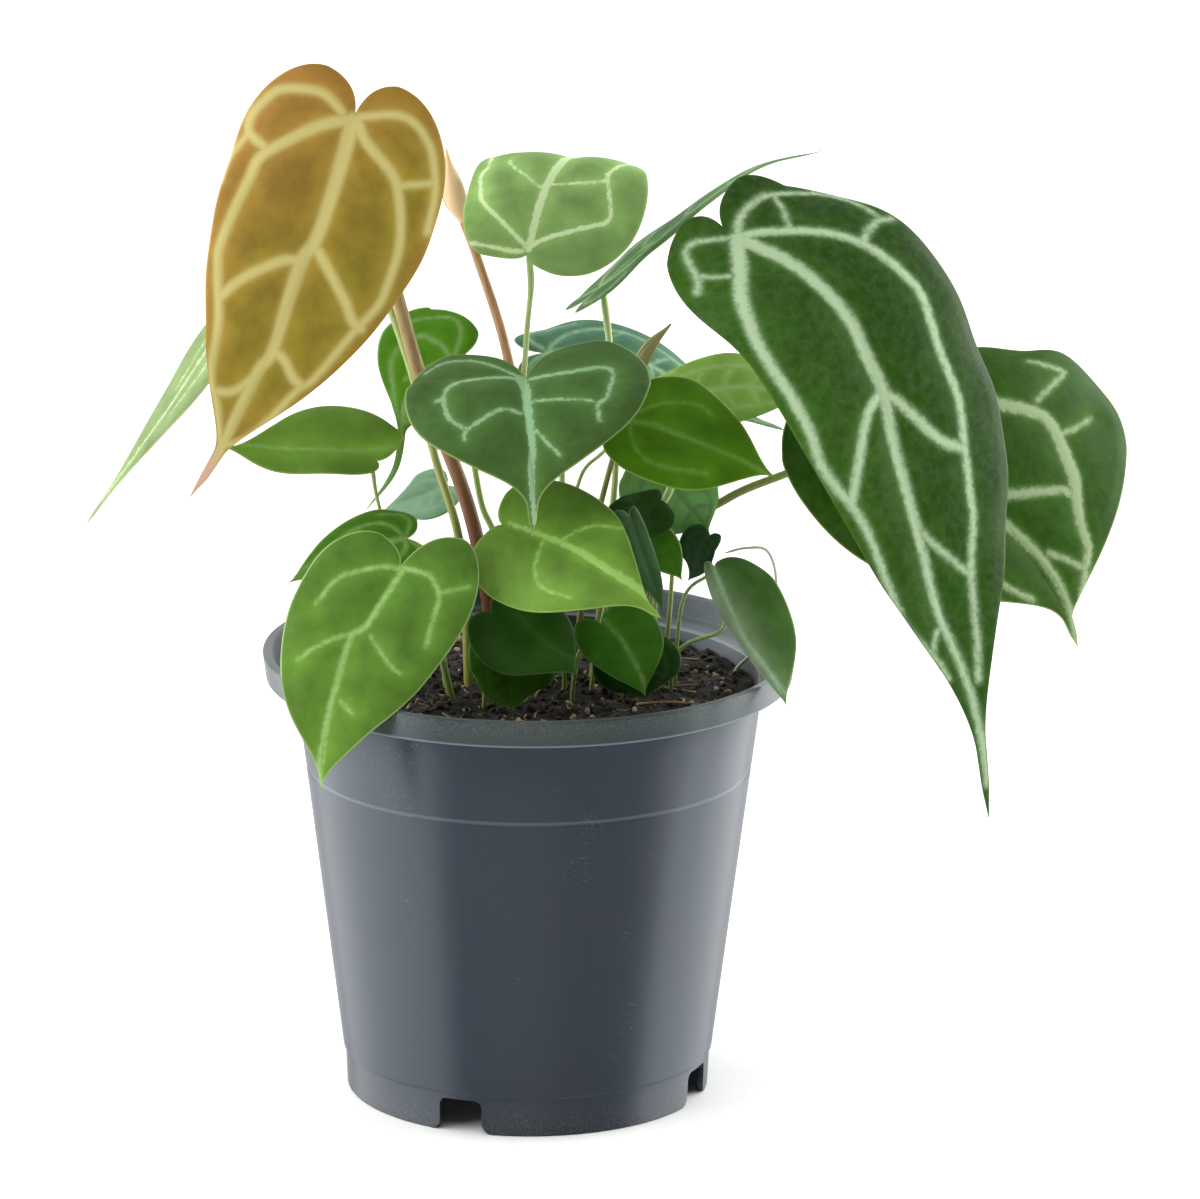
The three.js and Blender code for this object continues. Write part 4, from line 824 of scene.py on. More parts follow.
def rule_veins(spec, length):
    """Veins of a leaf whose own the photo doesn't show: midrib, collecting veins and laterals."""
    main = 0.35 + 0.035 * max(spec["left"]["width"], spec["right"]["width"])
    body = length - spec["tail"]
    veins = [(2.2 * main, 0.8 * main, [(0.5, 0), (0.5 * length, 0), (0.97 * length, 0)])]
    for key, sign in (("left", 1), ("right", -1)):
        side = spec[key]
        width, lobe = side["width"], side["lobe"]
        fore = margin_curves(side, length, spec["tail"], spec["tail_width"])[0][::-1]

        def ring(s):
            out = float(np.interp(s, fore[:, 0], fore[:, 1]))
            return RING_OUT * min(out, width) * min(1, s / (RING_START * length)) ** 0.6

        path = [(0.5, 0)] + [(k * body, sign * ring(k * body)) for k in RING_STOPS]
        veins.append((1.3 * main, 0.6 * main, path + [(0.9 * body, sign * 0.3)]))
        round_lobe = [(0, 0.6), (-0.55 * lobe, 0.4 * width), (-0.35 * lobe, 0.68 * width),
                      (0.12 * length, 0.8 * width)]
        veins.append((0.9 * main, 0.5 * main, [(s, sign * t) for s, t in round_lobe]))
        for s in (k * length for k in LATERALS):
            t = ring(min(s + 0.14 * length, 0.8 * length))
            veins.append((0.9 * main, 0.6 * main,
                          [(s, 0), (s + 0.2 * t, sign * 0.5 * t), (s + 0.5 * t, sign * t)]))
    return veins


def vein_distance(flat, veins):
    """Millimetres from each flat point to the nearest vein's edge, negative inside the vein."""
    samples, reaches = [], []
    for start, end, path in veins:
        curve = relaxed(path_points(path, 0.35))
        samples.append(curve)
        reaches.append(np.linspace(start, end, len(curve)) / 2)
    return nearest(flat, np.concatenate(samples), np.concatenate(reaches))


def sheet_normals(points, faces):
    """Average normals of a sheet at its points."""
    corners = np.array([f[:3] for f in faces])
    a, b, c = (points[corners[:, k]] for k in range(3))
    face_normals = np.cross(b - a, c - a)
    total = np.zeros_like(points)
    fourth = np.array([f[3] if len(f) > 3 else f[2] for f in faces])
    for k in range(3):
        for column in (corners[:, 0], corners[:, 1], corners[:, 2], fourth):
            total[:, k] += np.bincount(column, face_normals[:, k], len(points))
    return unit(total)


def smoothstep(low, high, x):
    """0 below low, 1 above high and an even slope between them."""
    u = np.clip((x - low) / (high - low), 0, 1)
    return u * u * (3 - 2 * u)


def blade_mesh(spec, settings):
    """Points, faces and per-point attributes of one leaf's blade, with its veins in relief."""
    surface = Surface(spec)
    length = surface.length
    flat, faces, border, edges = blade_grid(spec, length, settings.cell / MM)
    points = surface.at(flat[:, 0], flat[:, 1])
    normals = sheet_normals(points, faces)
    veins = VEINS.get(spec["name"]) or rule_veins(spec, length)
    vein = vein_distance(flat, veins)
    outline = np.concatenate([edges[0], edges[1] * (1, -1), flat[border]])
    rim = nearest(flat, outline)
    side_width = np.where(flat[:, 1] > 0, spec["left"]["width"], spec["right"]["width"])
    phase = sum(ord(c) for c in spec["name"])
    swell = settings.quilting / MM * (1 - np.exp(-np.maximum(vein, 0) / SWELL_REACH))
    swell *= smoothstep(0, FLAT_EDGE, rim)
    long_wave, short_wave = (flat[:, 0] / step for step in WAVE_LENGTHS)
    ripple = np.sin(long_wave + phase) + 0.6 * np.sin(short_wave + 2 * phase)
    ripple *= settings.wave / MM * (1 - smoothstep(0, WAVE_EDGE, rim))
    ripple *= smoothstep(*WAVE_FROM_MIDRIB, np.abs(flat[:, 1]))
    middle = points + normals * (swell + ripple)[:, None]
    thin = EDGE_THICKNESS + (1 - EDGE_THICKNESS) * smoothstep(0, THIN_EDGE, rim)
    thick = settings.thickness / MM / 2 * thin
    ridge = settings.ridge / MM * smoothstep(0, 0.9, -vein) * smoothstep(0, 2, rim)
    top = middle + normals * (thick + TOP_RIDGE * ridge)[:, None]
    bottom = middle - normals * (thick + ridge)[:, None]
    count = len(flat)
    all_faces = faces + [[count + i for i in reversed(f)] for f in faces]
    following = border[1:] + border[:1]
    all_faces += [[b, a, count + a, count + b] for a, b in zip(border, following)]
    attributes = {
        "vein": np.tile(vein, 2),
        "rim": np.tile(rim, 2),
        "along": np.tile(flat[:, 0] / length, 2),
        "side": np.tile(flat[:, 1] / side_width, 2),
        "under": np.concatenate([np.zeros(count), np.ones(count)]),
    }
    return np.concatenate([top, bottom]), all_faces, attributes, np.tile(flat, (2, 1))


def set_attributes(mesh, attributes, flat):
    """Stores each attribute on the mesh's points, and the flat blade as its UV map."""
    for name, values in attributes.items():
        layer = mesh.attributes.new(name, "FLOAT", "POINT")
        layer.data.foreach_set("value", values.astype(np.float32))
    corner_points = np.empty(len(mesh.loops), np.int32)
    mesh.loops.foreach_get("vertex_index", corner_points)
    uv = mesh.uv_layers.new(name="flat_blade")
    uv.data.foreach_set("uv", (flat[corner_points] * FLAT_SCALE).astype(np.float32).ravel())


# Stalks, by a Geometry Nodes tree

def tree_inputs(tree, inputs):
    """Adds the named inputs to a Geometry Nodes tree, after its geometry."""
    tree.interface.new_socket("Geometry", in_out="INPUT", socket_type="NodeSocketGeometry")
    for name, kind in inputs:
        tree.interface.new_socket(name, in_out="INPUT", socket_type=kind)
    tree.interface.new_socket("Geometry", in_out="OUTPUT", socket_type="NodeSocketGeometry")
    return add(tree, "NodeGroupInput").outputs


def end_tree(tree, geometry, material):
    """Ends a Geometry Nodes tree: instances made real, and the material put on."""
    real = add(tree, "GeometryNodeRealizeInstances", {"Geometry": geometry}).outputs[0]
    done = add(tree, "GeometryNodeSetMaterial", {"Geometry": real, "Material": material})
    add(tree, "NodeGroupOutput", {"Geometry": done.outputs["Geometry"]})
    return tree


def stalk_tree():
    """Round tapered rod along a route, swollen a little below its top end."""
    tree = bpy.data.node_groups.new("tapered_stalk", "GeometryNodeTree")
    given = tree_inputs(tree, [
        ("Base radius", "NodeSocketFloat"), ("Top radius", "NodeSocketFloat"),
        ("Swelling", "NodeSocketFloat"), ("Point from", "NodeSocketFloat"),
        ("Sides", "NodeSocketInt"), ("Material", "NodeSocketMaterial"),
    ])
    curve = add(tree, "GeometryNodeMeshToCurve", {"Mesh": given["Geometry"]}).outputs["Curve"]
    factor = add(tree, "GeometryNodeSplineParameter").outputs["Factor"]
    curve = add(tree, "GeometryNodeStoreNamedAttribute",
                {"Geometry": curve, "Name": "along", "Value": factor},
                data_type="FLOAT", domain="POINT").outputs["Geometry"]
    taper = ranged(tree, factor, given["Base radius"], given["Top radius"])
    rise = ranged(tree, factor, 0.0, given["Swelling"], 0.86, 0.94, "SMOOTHSTEP")
    fall = ranged(tree, factor, 1.0, 0.0, 0.95, 1.0, "SMOOTHSTEP")
    bulge = math_node(tree, "MULTIPLY_ADD", rise, fall, 1.0)
    point = ranged(tree, factor, 1.0, 0.2, given["Point from"], 1.0)
    radius = math_node(tree, "MULTIPLY", math_node(tree, "MULTIPLY", taper, bulge), point)
    ring = add(tree, "GeometryNodeCurvePrimitiveCircle",
               {"Resolution": given["Sides"], "Radius": 1.0})
    rod = add(tree, "GeometryNodeCurveToMesh", {
        "Curve": curve, "Profile Curve": ring.outputs["Curve"], "Fill Caps": True,
        "Scale": radius,
    })
    shaded = add(tree, "GeometryNodeSetShadeSmooth", {"Geometry": rod.outputs["Mesh"]})
    return end_tree(tree, shaded.outputs[0], given["Material"])


def with_tree(obj, tree, values):
    """Puts a Geometry Nodes tree on an object, with its inputs set by name."""
    modifier = obj.modifiers.new(tree.name, "NODES")
    modifier.node_group = tree
    names = {item.name: item.identifier for item in tree.interface.items_tree
             if item.in_out == "INPUT"}
    for name, value in values.items():
        modifier[names[name]] = value
    return obj


def rod_piece(name, path, radii, material, settings, swelling=0.0):
    """A stalk as a plain mesh object, along the smooth curve through its route."""
    points = path_points(path, 1.0)
    mesh = bpy.data.meshes.new(name + "_route")
    edges = [(i, i + 1) for i in range(len(points) - 1)]
    mesh.from_pydata((points * MM + np.array(AXIS)).tolist(), edges, [])
    route = link(bpy.data.objects.new(name + "_route", mesh))
    tree = bpy.data.node_groups.get("tapered_stalk") or stalk_tree()
    with_tree(route, tree, {
        "Base radius": radii[0] * MM, "Top radius": radii[1] * MM, "Swelling": swelling,
        "Point from": 1 - 2 / len(points), "Sides": settings.stalk_sides, "Material": material,
    })
    return baked(route, name)


def joined(name, *objects):
    """One object from several, each keeping its own material."""
    whole = bmesh.new()
    materials = []
    for obj in objects:
        before = len(whole.faces)
        whole.from_mesh(obj.data)
        whole.faces.ensure_lookup_table()
        for face in whole.faces[before:]:
            face.material_index += len(materials)
        materials.extend(obj.data.materials)
    mesh = bpy.data.meshes.new(name)
    whole.to_mesh(mesh)
    whole.free()
    for material in materials:
        mesh.materials.append(material)
    for obj in objects:
        bpy.data.objects.remove(obj)
    return link(bpy.data.objects.new(name, mesh))


def rolled_leaf(name, path, radius, material):
    """A young leaf still rolled up: a spindle whose outer edge laps over in a long seam."""
    centres = path_points(path, 0.5)
    tangents = unit(np.gradient(centres, axis=0))
    side = unit(np.cross(tangents[0], (0, 1, 0.2)))
    share = np.linspace(0, 1, len(centres))
    swell = ROLL_FOOT + (1 - ROLL_FOOT) * smoothstep(0, 0.4, share)
    profile = radius * swell * (1 - smoothstep(0.45, 1.05, share)) + ROLL_TIP
    points, faces = [], []
    for i, (centre, tangent) in enumerate(zip(centres, tangents)):
        side = unit(side - tangent * side.dot(tangent))
        across = np.cross(tangent, side)
        for k in range(ROLL_SIDES):
            lap = 1 + SEAM_LAP * (k / (ROLL_SIDES - 1)) * smoothstep(0.05, 0.4, share[i])
            turn = 2 * math.pi * k / ROLL_SIDES + ROLL_TWIST * share[i]
            out = side * math.cos(turn) + across * math.sin(turn)
            points.append(centre + profile[i] * lap * out)
    last = (len(centres) - 1) * ROLL_SIDES
    for start in range(0, last, ROLL_SIDES):
        for k in range(ROLL_SIDES):
            a, b = start + k, start + (k + 1) % ROLL_SIDES
            faces.append([a, b, b + ROLL_SIDES, a + ROLL_SIDES])
    faces.append(list(range(ROLL_SIDES - 1, -1, -1)))
    faces.append([last + k for k in range(ROLL_SIDES)])
    return make_object(name, points, faces, [material], smooth_angle=50)


# Pot

def wall_radius(z):
    """Outer radius of the pot's tapered wall at a height."""
    foot = FOOT_RADIUS + FOOT_STEP
    share = (z - FOOT_HEIGHT) / (POT_HEIGHT - LIP_HEIGHT - FOOT_HEIGHT)
    return foot + (NECK_RADIUS - foot) * share


def filleted(profile, radius):
    """A profile with rounded corners, and points beside them that keep long walls straight."""
    profile = [np.array(p, float) for p in profile]
    result = [profile[0]]
    for before, corner, after in zip(profile, profile[1:], profile[2:]):
        back, on = before - corner, after - corner
        reach = min(radius, 0.4 * np.linalg.norm(back), 0.4 * np.linalg.norm(on))
        start, end = corner + unit(back) * reach, corner + unit(on) * reach
        long_wall = 4 * reach + 1
        if np.linalg.norm(back) > long_wall:
            result.append(start + unit(back) * 0.6)
        result += [(1 - u)**2 * start + 2 * u * (1 - u) * corner + u * u * end
                   for u in (0, 0.25, 0.5, 0.75, 1)]
        if np.linalg.norm(on) > long_wall:
            result.append(end + unit(on) * 0.6)
    result.append(profile[-1])
    return result


def pot_profile(corner):
    """The pot's section from the axis, round the outside and back inside, with rounded corners."""
    under = POT_HEIGHT - LIP_HEIGHT
    lip_inside = LIP_RADIUS - LIP_THICK
    neck_inside = NECK_RADIUS - WALL
    foot_inside = FOOT_RADIUS - WALL
    edge = 0.15
    return filleted([
        (0, FLOOR_Z - WALL), (foot_inside, FLOOR_Z - WALL), (foot_inside - FOOT_LEAN, 0),
        (FOOT_RADIUS - FOOT_LEAN, 0), (FOOT_RADIUS, FOOT_HEIGHT),
        (FOOT_RADIUS + FOOT_STEP, FOOT_HEIGHT + FOOT_STEP),
        (wall_radius(GROOVE_Z - GROOVE_HALF), GROOVE_Z - GROOVE_HALF),
        (wall_radius(GROOVE_Z) - GROOVE_DEPTH, GROOVE_Z),
        (wall_radius(GROOVE_Z + GROOVE_HALF), GROOVE_Z + GROOVE_HALF),
        (NECK_RADIUS, under - edge), (NECK_RADIUS + NECK_FILLET, under),
        (LIP_RADIUS - LIP_LEAN, under), (LIP_RADIUS, POT_HEIGHT),
        (lip_inside, POT_HEIGHT), (lip_inside - LIP_LEAN, under + WALL),
        (neck_inside + LIP_LEAN, under + WALL), (neck_inside, under - edge),
        (FOOT_RADIUS + FOOT_STEP - WALL, FLOOR_Z), (0, FLOOR_Z),
    ], corner)


def revolved(profile, segments):
    """Points and faces of a closed body turned from a profile that begins and ends on the axis."""
    ring = profile[1:-1]
    points = [(0, 0, profile[0][1])]
    for r, z in ring:
        turns = np.linspace(0, 2 * math.pi, segments, endpoint=False)
        points += np.stack([r * np.cos(turns), r * np.sin(turns), np.full(segments, z)], 1).tolist()
    points.append((0, 0, profile[-1][1]))
    faces = []
    last = len(points) - 1
    for k in range(segments):
        n = (k + 1) % segments
        faces.append([0, 1 + n, 1 + k])
        for i in range(len(ring) - 1):
            a, b = 1 + i * segments, 1 + (i + 1) * segments
            faces.append([a + k, a + n, b + n, b + k])
        top = 1 + (len(ring) - 1) * segments
        faces.append([last, top + k, top + n])
    return points, faces


def quadratic(a, b, c, count=8):
    """Points along a flat quadratic curve, without its first."""
    return [tuple((1 - u)**2 * np.array(a) + 2 * u * (1 - u) * np.array(b) + u * u * np.array(c))
            for u in np.linspace(0, 1, count + 1)[1:]]


def prism(outline, near, far, turn):
    """A closed prism from an outline of (across, height), pushed out radially from near to far."""
    n = len(outline)
    points = [(x, -y, z) for y in (near, far) for x, z in outline]
    cos, sin = math.cos(turn), math.sin(turn)
    points = [(x * cos - y * sin, x * sin + y * cos, z) for x, y, z in points]
    faces = [list(range(n)), list(range(2 * n - 1, n - 1, -1))]
    faces += [[i, n + i, n + (i + 1) % n, (i + 1) % n] for i in range(n)]
    return points, faces


def notch_outline():
    """A drainage notch: rounded above, and flared where the ring's feet round off."""
    side, foot = NOTCH_WIDTH / 2, NOTCH_WIDTH / 2 + NOTCH_FLARE
    left = [(-foot, -1), (-foot, 0)]
    left += quadratic((-foot, 0), (-side, 0), (-side, NOTCH_FLARE))
    left += [(-side, NOTCH_HEIGHT - NOTCH_ROUND)]
    left += quadratic((-side, NOTCH_HEIGHT - NOTCH_ROUND), (-side, NOTCH_HEIGHT),
                      (NOTCH_ROUND - side, NOTCH_HEIGHT))
    return left + [(-x, z) for x, z in reversed(left)]


def cutters():
    """The notches and drain holes as one object to cut the pot with."""
    shapes = []
    for i in range(NOTCHES):
        turn = math.radians(NOTCH_TURN + 360 / NOTCHES * i)
        shapes.append(prism(notch_outline(), FOOT_RADIUS - 5, FOOT_RADIUS + 5, turn))
    for i in range(DRAIN_HOLES):
        turn = 2 * math.pi * i / DRAIN_HOLES
        x, y = DRAIN_RING * math.cos(turn), DRAIN_RING * math.sin(turn)
        low, high = FLOOR_Z - 3 * WALL, FLOOR_Z + 3 * WALL
        ring = [(x + DRAIN_RADIUS * math.cos(a), y + DRAIN_RADIUS * math.sin(a))
                for a in np.linspace(0, 2 * math.pi, HOLE_STEPS, endpoint=False)]
        points = [(p, q, z) for z in (low, high) for p, q in ring]
        faces = [list(range(HOLE_STEPS - 1, -1, -1)), list(range(HOLE_STEPS, 2 * HOLE_STEPS))]
        for k in range(HOLE_STEPS):
            n = (k + 1) % HOLE_STEPS
            faces.append([k, n, HOLE_STEPS + n, HOLE_STEPS + k])
        shapes.append((points, faces))
    points, faces = [], []
    for shape_points, shape_faces in shapes:
        faces += [[len(points) + i for i in f] for f in shape_faces]
        points += shape_points
    cutter = make_object("pot_cutters", points, faces, [])
    whole = bmesh.new()
    whole.from_mesh(cutter.data)
    bmesh.ops.recalc_face_normals(whole, faces=whole.faces)
    whole.to_mesh(cutter.data)
    whole.free()
    return cutter


# Soil

def soil_height(x, y):
    """Lumpy top of the soil, as in the part's source."""
    r = math.hypot(x, y) / NECK_RADIUS
    lumps = math.sin(0.31 * x + 1.3) * math.cos(0.27 * y) + 0.6 * math.sin(0.53 * y - 0.38 * x)
    return SOIL_Z + SOIL_HEAP * (1 - r * r) + SOIL_LUMP * lumps * (1 - 0.5 * r)


def crumbly(x, y):
    """Fine lumps on the soil, from about 8 mm down to about 1 mm."""
    lumps = sum(height * noise.noise((x / size, y / size, place)) for size, height, place in LUMPS)
    crumb = noise.noise((x / CRUMB_SIZE, y / CRUMB_SIZE, CRUMB_PLACE))
    return lumps + CRUMB_HEIGHT * abs(crumb)


def soil_top(reach, rings, segments, lift=0.0):
    """Points and faces of the soil's crumbly top out to a radius, ring by ring."""
    points, faces = [(0, 0, soil_height(0, 0) + crumbly(0, 0) + lift)], []
    for ring in range(1, rings + 1):
        r = reach * ring / rings
        a, b = 1 + (ring - 2) * segments, 1 + (ring - 1) * segments
        for k in range(segments):
            turn, n = 2 * math.pi * k / segments, (k + 1) % segments
            x, y = r * math.cos(turn), r * math.sin(turn)
            points.append((x, y, soil_height(x, y) + crumbly(x, y) + lift))
            faces.append([0, 1 + k, 1 + n] if ring == 1 else [a + k, b + k, b + n, a + n])
    return points, faces


def soil_mesh():
    """Points and faces of the potting mix, as a closed body with a fine crumbly top."""
    top_radius, bottom_radius = (wall_radius(z) - WALL - SOIL_GAP for z in (SOIL_Z, FLOOR_Z))
    bottom_z = FLOOR_Z + SOIL_GAP / 2
    rings, segments = SOIL_MESH
    points, faces = soil_top(top_radius, rings, segments)
    low = len(points)
    for k in range(segments):
        turn, n = 2 * math.pi * k / segments, (k + 1) % segments
        points.append((bottom_radius * math.cos(turn), bottom_radius * math.sin(turn), bottom_z))
        faces.append([low - segments + k, low + k, low + n, low - segments + n])
        faces.append([low + segments, low + n, low + k])
    points.append((0, 0, bottom_z))
    return points, faces


def scatter_tree(name, grain):
    """Strews one kind of grain over a surface, each turned, sized and dented in its own way."""
    tree = bpy.data.node_groups.new(name, "GeometryNodeTree")
    given = tree_inputs(tree, [
        ("Density", "NodeSocketFloat"), ("Smallest", "NodeSocketFloat"),
        ("Largest", "NodeSocketFloat"), ("Dents", "NodeSocketFloat"),
        ("Seed", "NodeSocketInt"), ("Material", "NodeSocketMaterial"),
    ])
    spread = add(tree, "GeometryNodeDistributePointsOnFaces", {
        "Mesh": given["Geometry"], "Density": given["Density"], "Seed": given["Seed"],
    })
    turn = add(tree, "FunctionNodeRandomValue", {
        0: (-3.1, -3.1, -3.1), 1: (3.1, 3.1, 3.1), "Seed": given["Seed"],
    }, data_type="FLOAT_VECTOR").outputs[0]
    share = add(tree, "FunctionNodeRandomValue", {2: 0.0, 3: 1.0, "Seed": 3},
                data_type="FLOAT").outputs[1]
    share = math_node(tree, "POWER", share, 2.2)
    size = ranged(tree, share, given["Smallest"], given["Largest"])
    if grain == "straw":
        turn = math_vector(tree, "MULTIPLY", turn, (0.06, 0.06, 1))
        bend = add(tree, "GeometryNodeCurveQuadraticBezier", {
            "Resolution": 7, "Start": (-0.5, 0, 0.03), "Middle": (0.05, 0.22, 0.1),
            "End": (0.5, 0, 0.02),
        }).outputs["Curve"]
        ring = add(tree, "GeometryNodeCurvePrimitiveCircle", {"Resolution": 5, "Radius": 0.03})
        shape = add(tree, "GeometryNodeCurveToMesh", {
            "Curve": bend, "Profile Curve": ring.outputs["Curve"], "Fill Caps": True,
        }).outputs["Mesh"]
    else:
        ball = add(tree, "GeometryNodeMeshIcoSphere", {"Radius": 1.0, "Subdivisions": 2})
        shape = add(tree, "GeometryNodeTransform", {
            "Geometry": ball.outputs["Mesh"], "Scale": (1.0, 0.72, 0.5),
        }).outputs["Geometry"]
    placed = add(tree, "GeometryNodeInstanceOnPoints", {
        "Points": spread.outputs["Points"], "Instance": shape, "Rotation": turn, "Scale": size,
    }).outputs["Instances"]
    real = add(tree, "GeometryNodeRealizeInstances", {"Geometry": placed}).outputs[0]
    rough = add(tree, "ShaderNodeTexNoise", {"Scale": 900.0, "Detail": 1.0}).outputs["Color"]
    dent = math_vector(tree, "SUBTRACT", rough, (0.5, 0.5, 0.5))
    dent = add(tree, "ShaderNodeVectorMath", {0: dent, "Scale": given["Dents"]},
               operation="SCALE").outputs[0]
    moved = add(tree, "GeometryNodeSetPosition", {"Geometry": real, "Offset": dent})
    shaded = add(tree, "GeometryNodeSetShadeSmooth", {
        "Geometry": moved.outputs["Geometry"], "Shade Smooth": grain == "straw",
    })
    return end_tree(tree, shaded.outputs[0], given["Material"])


def scatter_piece(name, grain, count, sizes, dents, seed, material, lift=0.0):
    """Grains strewn over the soil's top, clear of the pot's wall."""
    reach = wall_radius(SOIL_Z) - WALL - SOIL_GAP - max(1.5, sizes[1] / MM)
    bed = make_object(name + "_bed", *soil_top(reach, *BED_MESH, lift), [])
    with_tree(bed, scatter_tree(name, grain), {
        "Density": count / (math.pi * (reach * MM) ** 2), "Smallest": sizes[0],
        "Largest": sizes[1], "Dents": dents, "Seed": seed, "Material": material,
    })
    return baked(bed, name)


# Materials

def new_material(name):
    """A material, its node tree and its surface shader."""
    material = bpy.data.materials.new(name)
    material.use_nodes = True
    tree = material.node_tree
    return material, tree, tree.nodes["Principled BSDF"]


def mix(tree, factor, a, b, blend="MIX"):
    return add(tree, "ShaderNodeMix", {0: factor, 6: a, 7: b}, data_type="RGBA",
               blend_type=blend).outputs[2]


def over(tree, colour, top, cover, amount=1.0):
    """Lays a colour, written as hex, over another as far as cover goes, times the amount."""
    if amount != 1.0:
        cover = math_node(tree, "MULTIPLY", cover, amount)
    return mix(tree, cover, colour, linear(top))


def mask(tree, value, low, high):
    """0 below low and 1 above high, or the other way round if low is the greater."""
    ends = (1.0, 0.0) if low > high else (0.0, 1.0)
    return ranged(tree, value, *ends, min(low, high), max(low, high), "SMOOTHSTEP")


def attribute(tree, name):
    """A value that the mesh stores under a name."""
    return add(tree, "ShaderNodeAttribute", attribute_name=name).outputs["Fac"]


def grain_noise(tree, size_mm, detail=2.0, stretch=(1, 1, 1)):
    """Noise whose blotches are about this many millimetres across."""
    source = add(tree, "ShaderNodeTexCoord").outputs["Object"]
    if stretch != (1, 1, 1):
        source = add(tree, "ShaderNodeMapping", {"Vector": source, "Scale": stretch}).outputs[0]
    return add(tree, "ShaderNodeTexNoise", {
        "Vector": source, "Scale": 1 / (size_mm * MM), "Detail": detail,
    }).outputs["Fac"]


def finish(tree, shader, colour, roughness, height, strength, depth_mm, **others):
    """Gives a shader its colour and roughness, and dents it by a height."""
    bump = add(tree, "ShaderNodeBump", {
        "Strength": strength, "Distance": depth_mm * MM, "Height": height,
    })
    feed(tree, shader, {"Base Color": colour, "Roughness": roughness,
                        "Normal": bump.outputs["Normal"], **others})


def leaf_skin(name, colours):
    """Living aroid leaf: a soft satin skin that keeps a broad pale highlight. Its thick silvery
    veins have ragged edges, and its thin margin and its underside are paler."""
    material, tree, shader = new_material(name)
    vein, rim, along, side, under = (attribute(tree, k)
                                     for k in ("vein", "rim", "along", "side", "under"))
    flat = add(tree, "ShaderNodeUVMap", uv_map="flat_blade").outputs["UV"]
    mottle = grain_noise(tree, MOTTLE, 4.0)
    ragged = add(tree, "ShaderNodeTexNoise", {
        "Vector": flat, "Scale": 1 / (RAGGED * FLAT_SCALE), "Detail": 4.0, "Roughness": 0.7,
    }).outputs["Fac"]
    cells = add(tree, "ShaderNodeTexVoronoi", {
        "Vector": flat, "Scale": 1 / (CELLS * FLAT_SCALE),
    }, feature="DISTANCE_TO_EDGE").outputs["Distance"]

    # The blade between its veins
    start, tipward, leftward = colours["lean"]
    share = math_node(tree, "MULTIPLY_ADD", along, tipward, start - 0.25)
    share = math_node(tree, "MULTIPLY_ADD", side, leftward, share)
    share = math_node(tree, "MULTIPLY_ADD", grain_noise(tree, BLOTCH), 0.5, share)
    share = add(tree, "ShaderNodeClamp", {"Value": share}).outputs[0]
    blade = mix(tree, share, linear(colours["blade"]), linear(colours["second"]))
    cushion = ranged(tree, vein, 1.25, 0.92, 0.2, 4.5)
    cloud = math_node(tree, "MULTIPLY_ADD", grain_noise(tree, CLOUD, 3.0), 0.8, 0.6)
    blade = mix(tree, 1.0, blade, math_node(tree, "MULTIPLY", cushion, cloud), "MULTIPLY")
    blade = over(tree, blade, colours["vein"], mask(tree, mottle, 0.3, 0.75), FLECK_COVER)
    blade = over(tree, blade, colours["second"], mask(tree, rim, 7.0, 0.5), colours["hem"])
    blade = over(tree, blade, colours["vein"], mask(tree, cells, 0.12, 0.0),
                 NET_COVER * colours["net"])

    # The veins, whose edges are shaken by the ragged noise
    feather = colours["feather"]
    shake = math_node(tree, "MULTIPLY_ADD", ragged, 5 * feather, -2.5 * feather)
    edge = math_node(tree, "ADD", vein, shake)
    veined = mask(tree, edge, 0.6 * colours["soft"], -0.6 * colours["soft"])
    glow = math_node(tree, "MULTIPLY", mask(tree, edge, 1.6, -0.2), mask(tree, ragged, 0.3, 0.65))
    blade = over(tree, blade, colours["vein"], glow, colours["glow"])
    upper = over(tree, blade, colours["vein"], veined, VEIN_COVER)
    upper = over(tree, upper, colours["rim"], mask(tree, rim, 0.45, 0.15), RIM_COVER)
    if colours["tip"]:
        upper = over(tree, upper, colours["tip"], mask(tree, along, 0.84, 0.92))
    lower = mix(tree, UNDER_COVER, blade, linear(colours["under"]))
    lower = over(tree, lower, colours["vein"], veined, UNDER_VEIN_COVER)

    colour = mix(tree, mask(tree, under, 0.4, 0.6), upper, lower)
    relief = math_node(tree, "MULTIPLY_ADD", grain_noise(tree, PORES, 1.0), 0.4,
                       mask(tree, cells, 0.0, 0.2))
    finish(tree, shader, colour, ranged(tree, mottle, 0.45, 0.65), relief, 0.15, 0.12,
           **{"Specular IOR Level": 0.09})
    return material


def stalk_skin(name, base, top):
    """Fleshy leaf stalk: a smooth waxy skin with long faint streaks, browner at its foot."""
    material, tree, shader = new_material(name)
    streak = grain_noise(tree, 1.2, 3.0, (1, 1, 0.08))
    fleck = grain_noise(tree, 2.5, 3.0)
    colour = over(tree, linear(base), top, mask(tree, attribute(tree, "along"), 0.2, 0.7))
    colour = over(tree, colour, base, mask(tree, streak, 0.35, 0.7), 0.35)
    colour = over(tree, colour, top, mask(tree, fleck, 0.55, 0.8), 0.2)
    finish(tree, shader, colour, ranged(tree, fleck, 0.38, 0.55), streak, 0.3, 0.2)
    return material


def band(tree, height, middle, inner, outer):
    """1 within inner millimetres of a height, fading to 0 at outer."""
    gap = math_node(tree, "SUBTRACT", height, middle * MM)
    return mask(tree, math_node(tree, "ABSOLUTE", gap, 0.0), outer * MM, inner * MM)


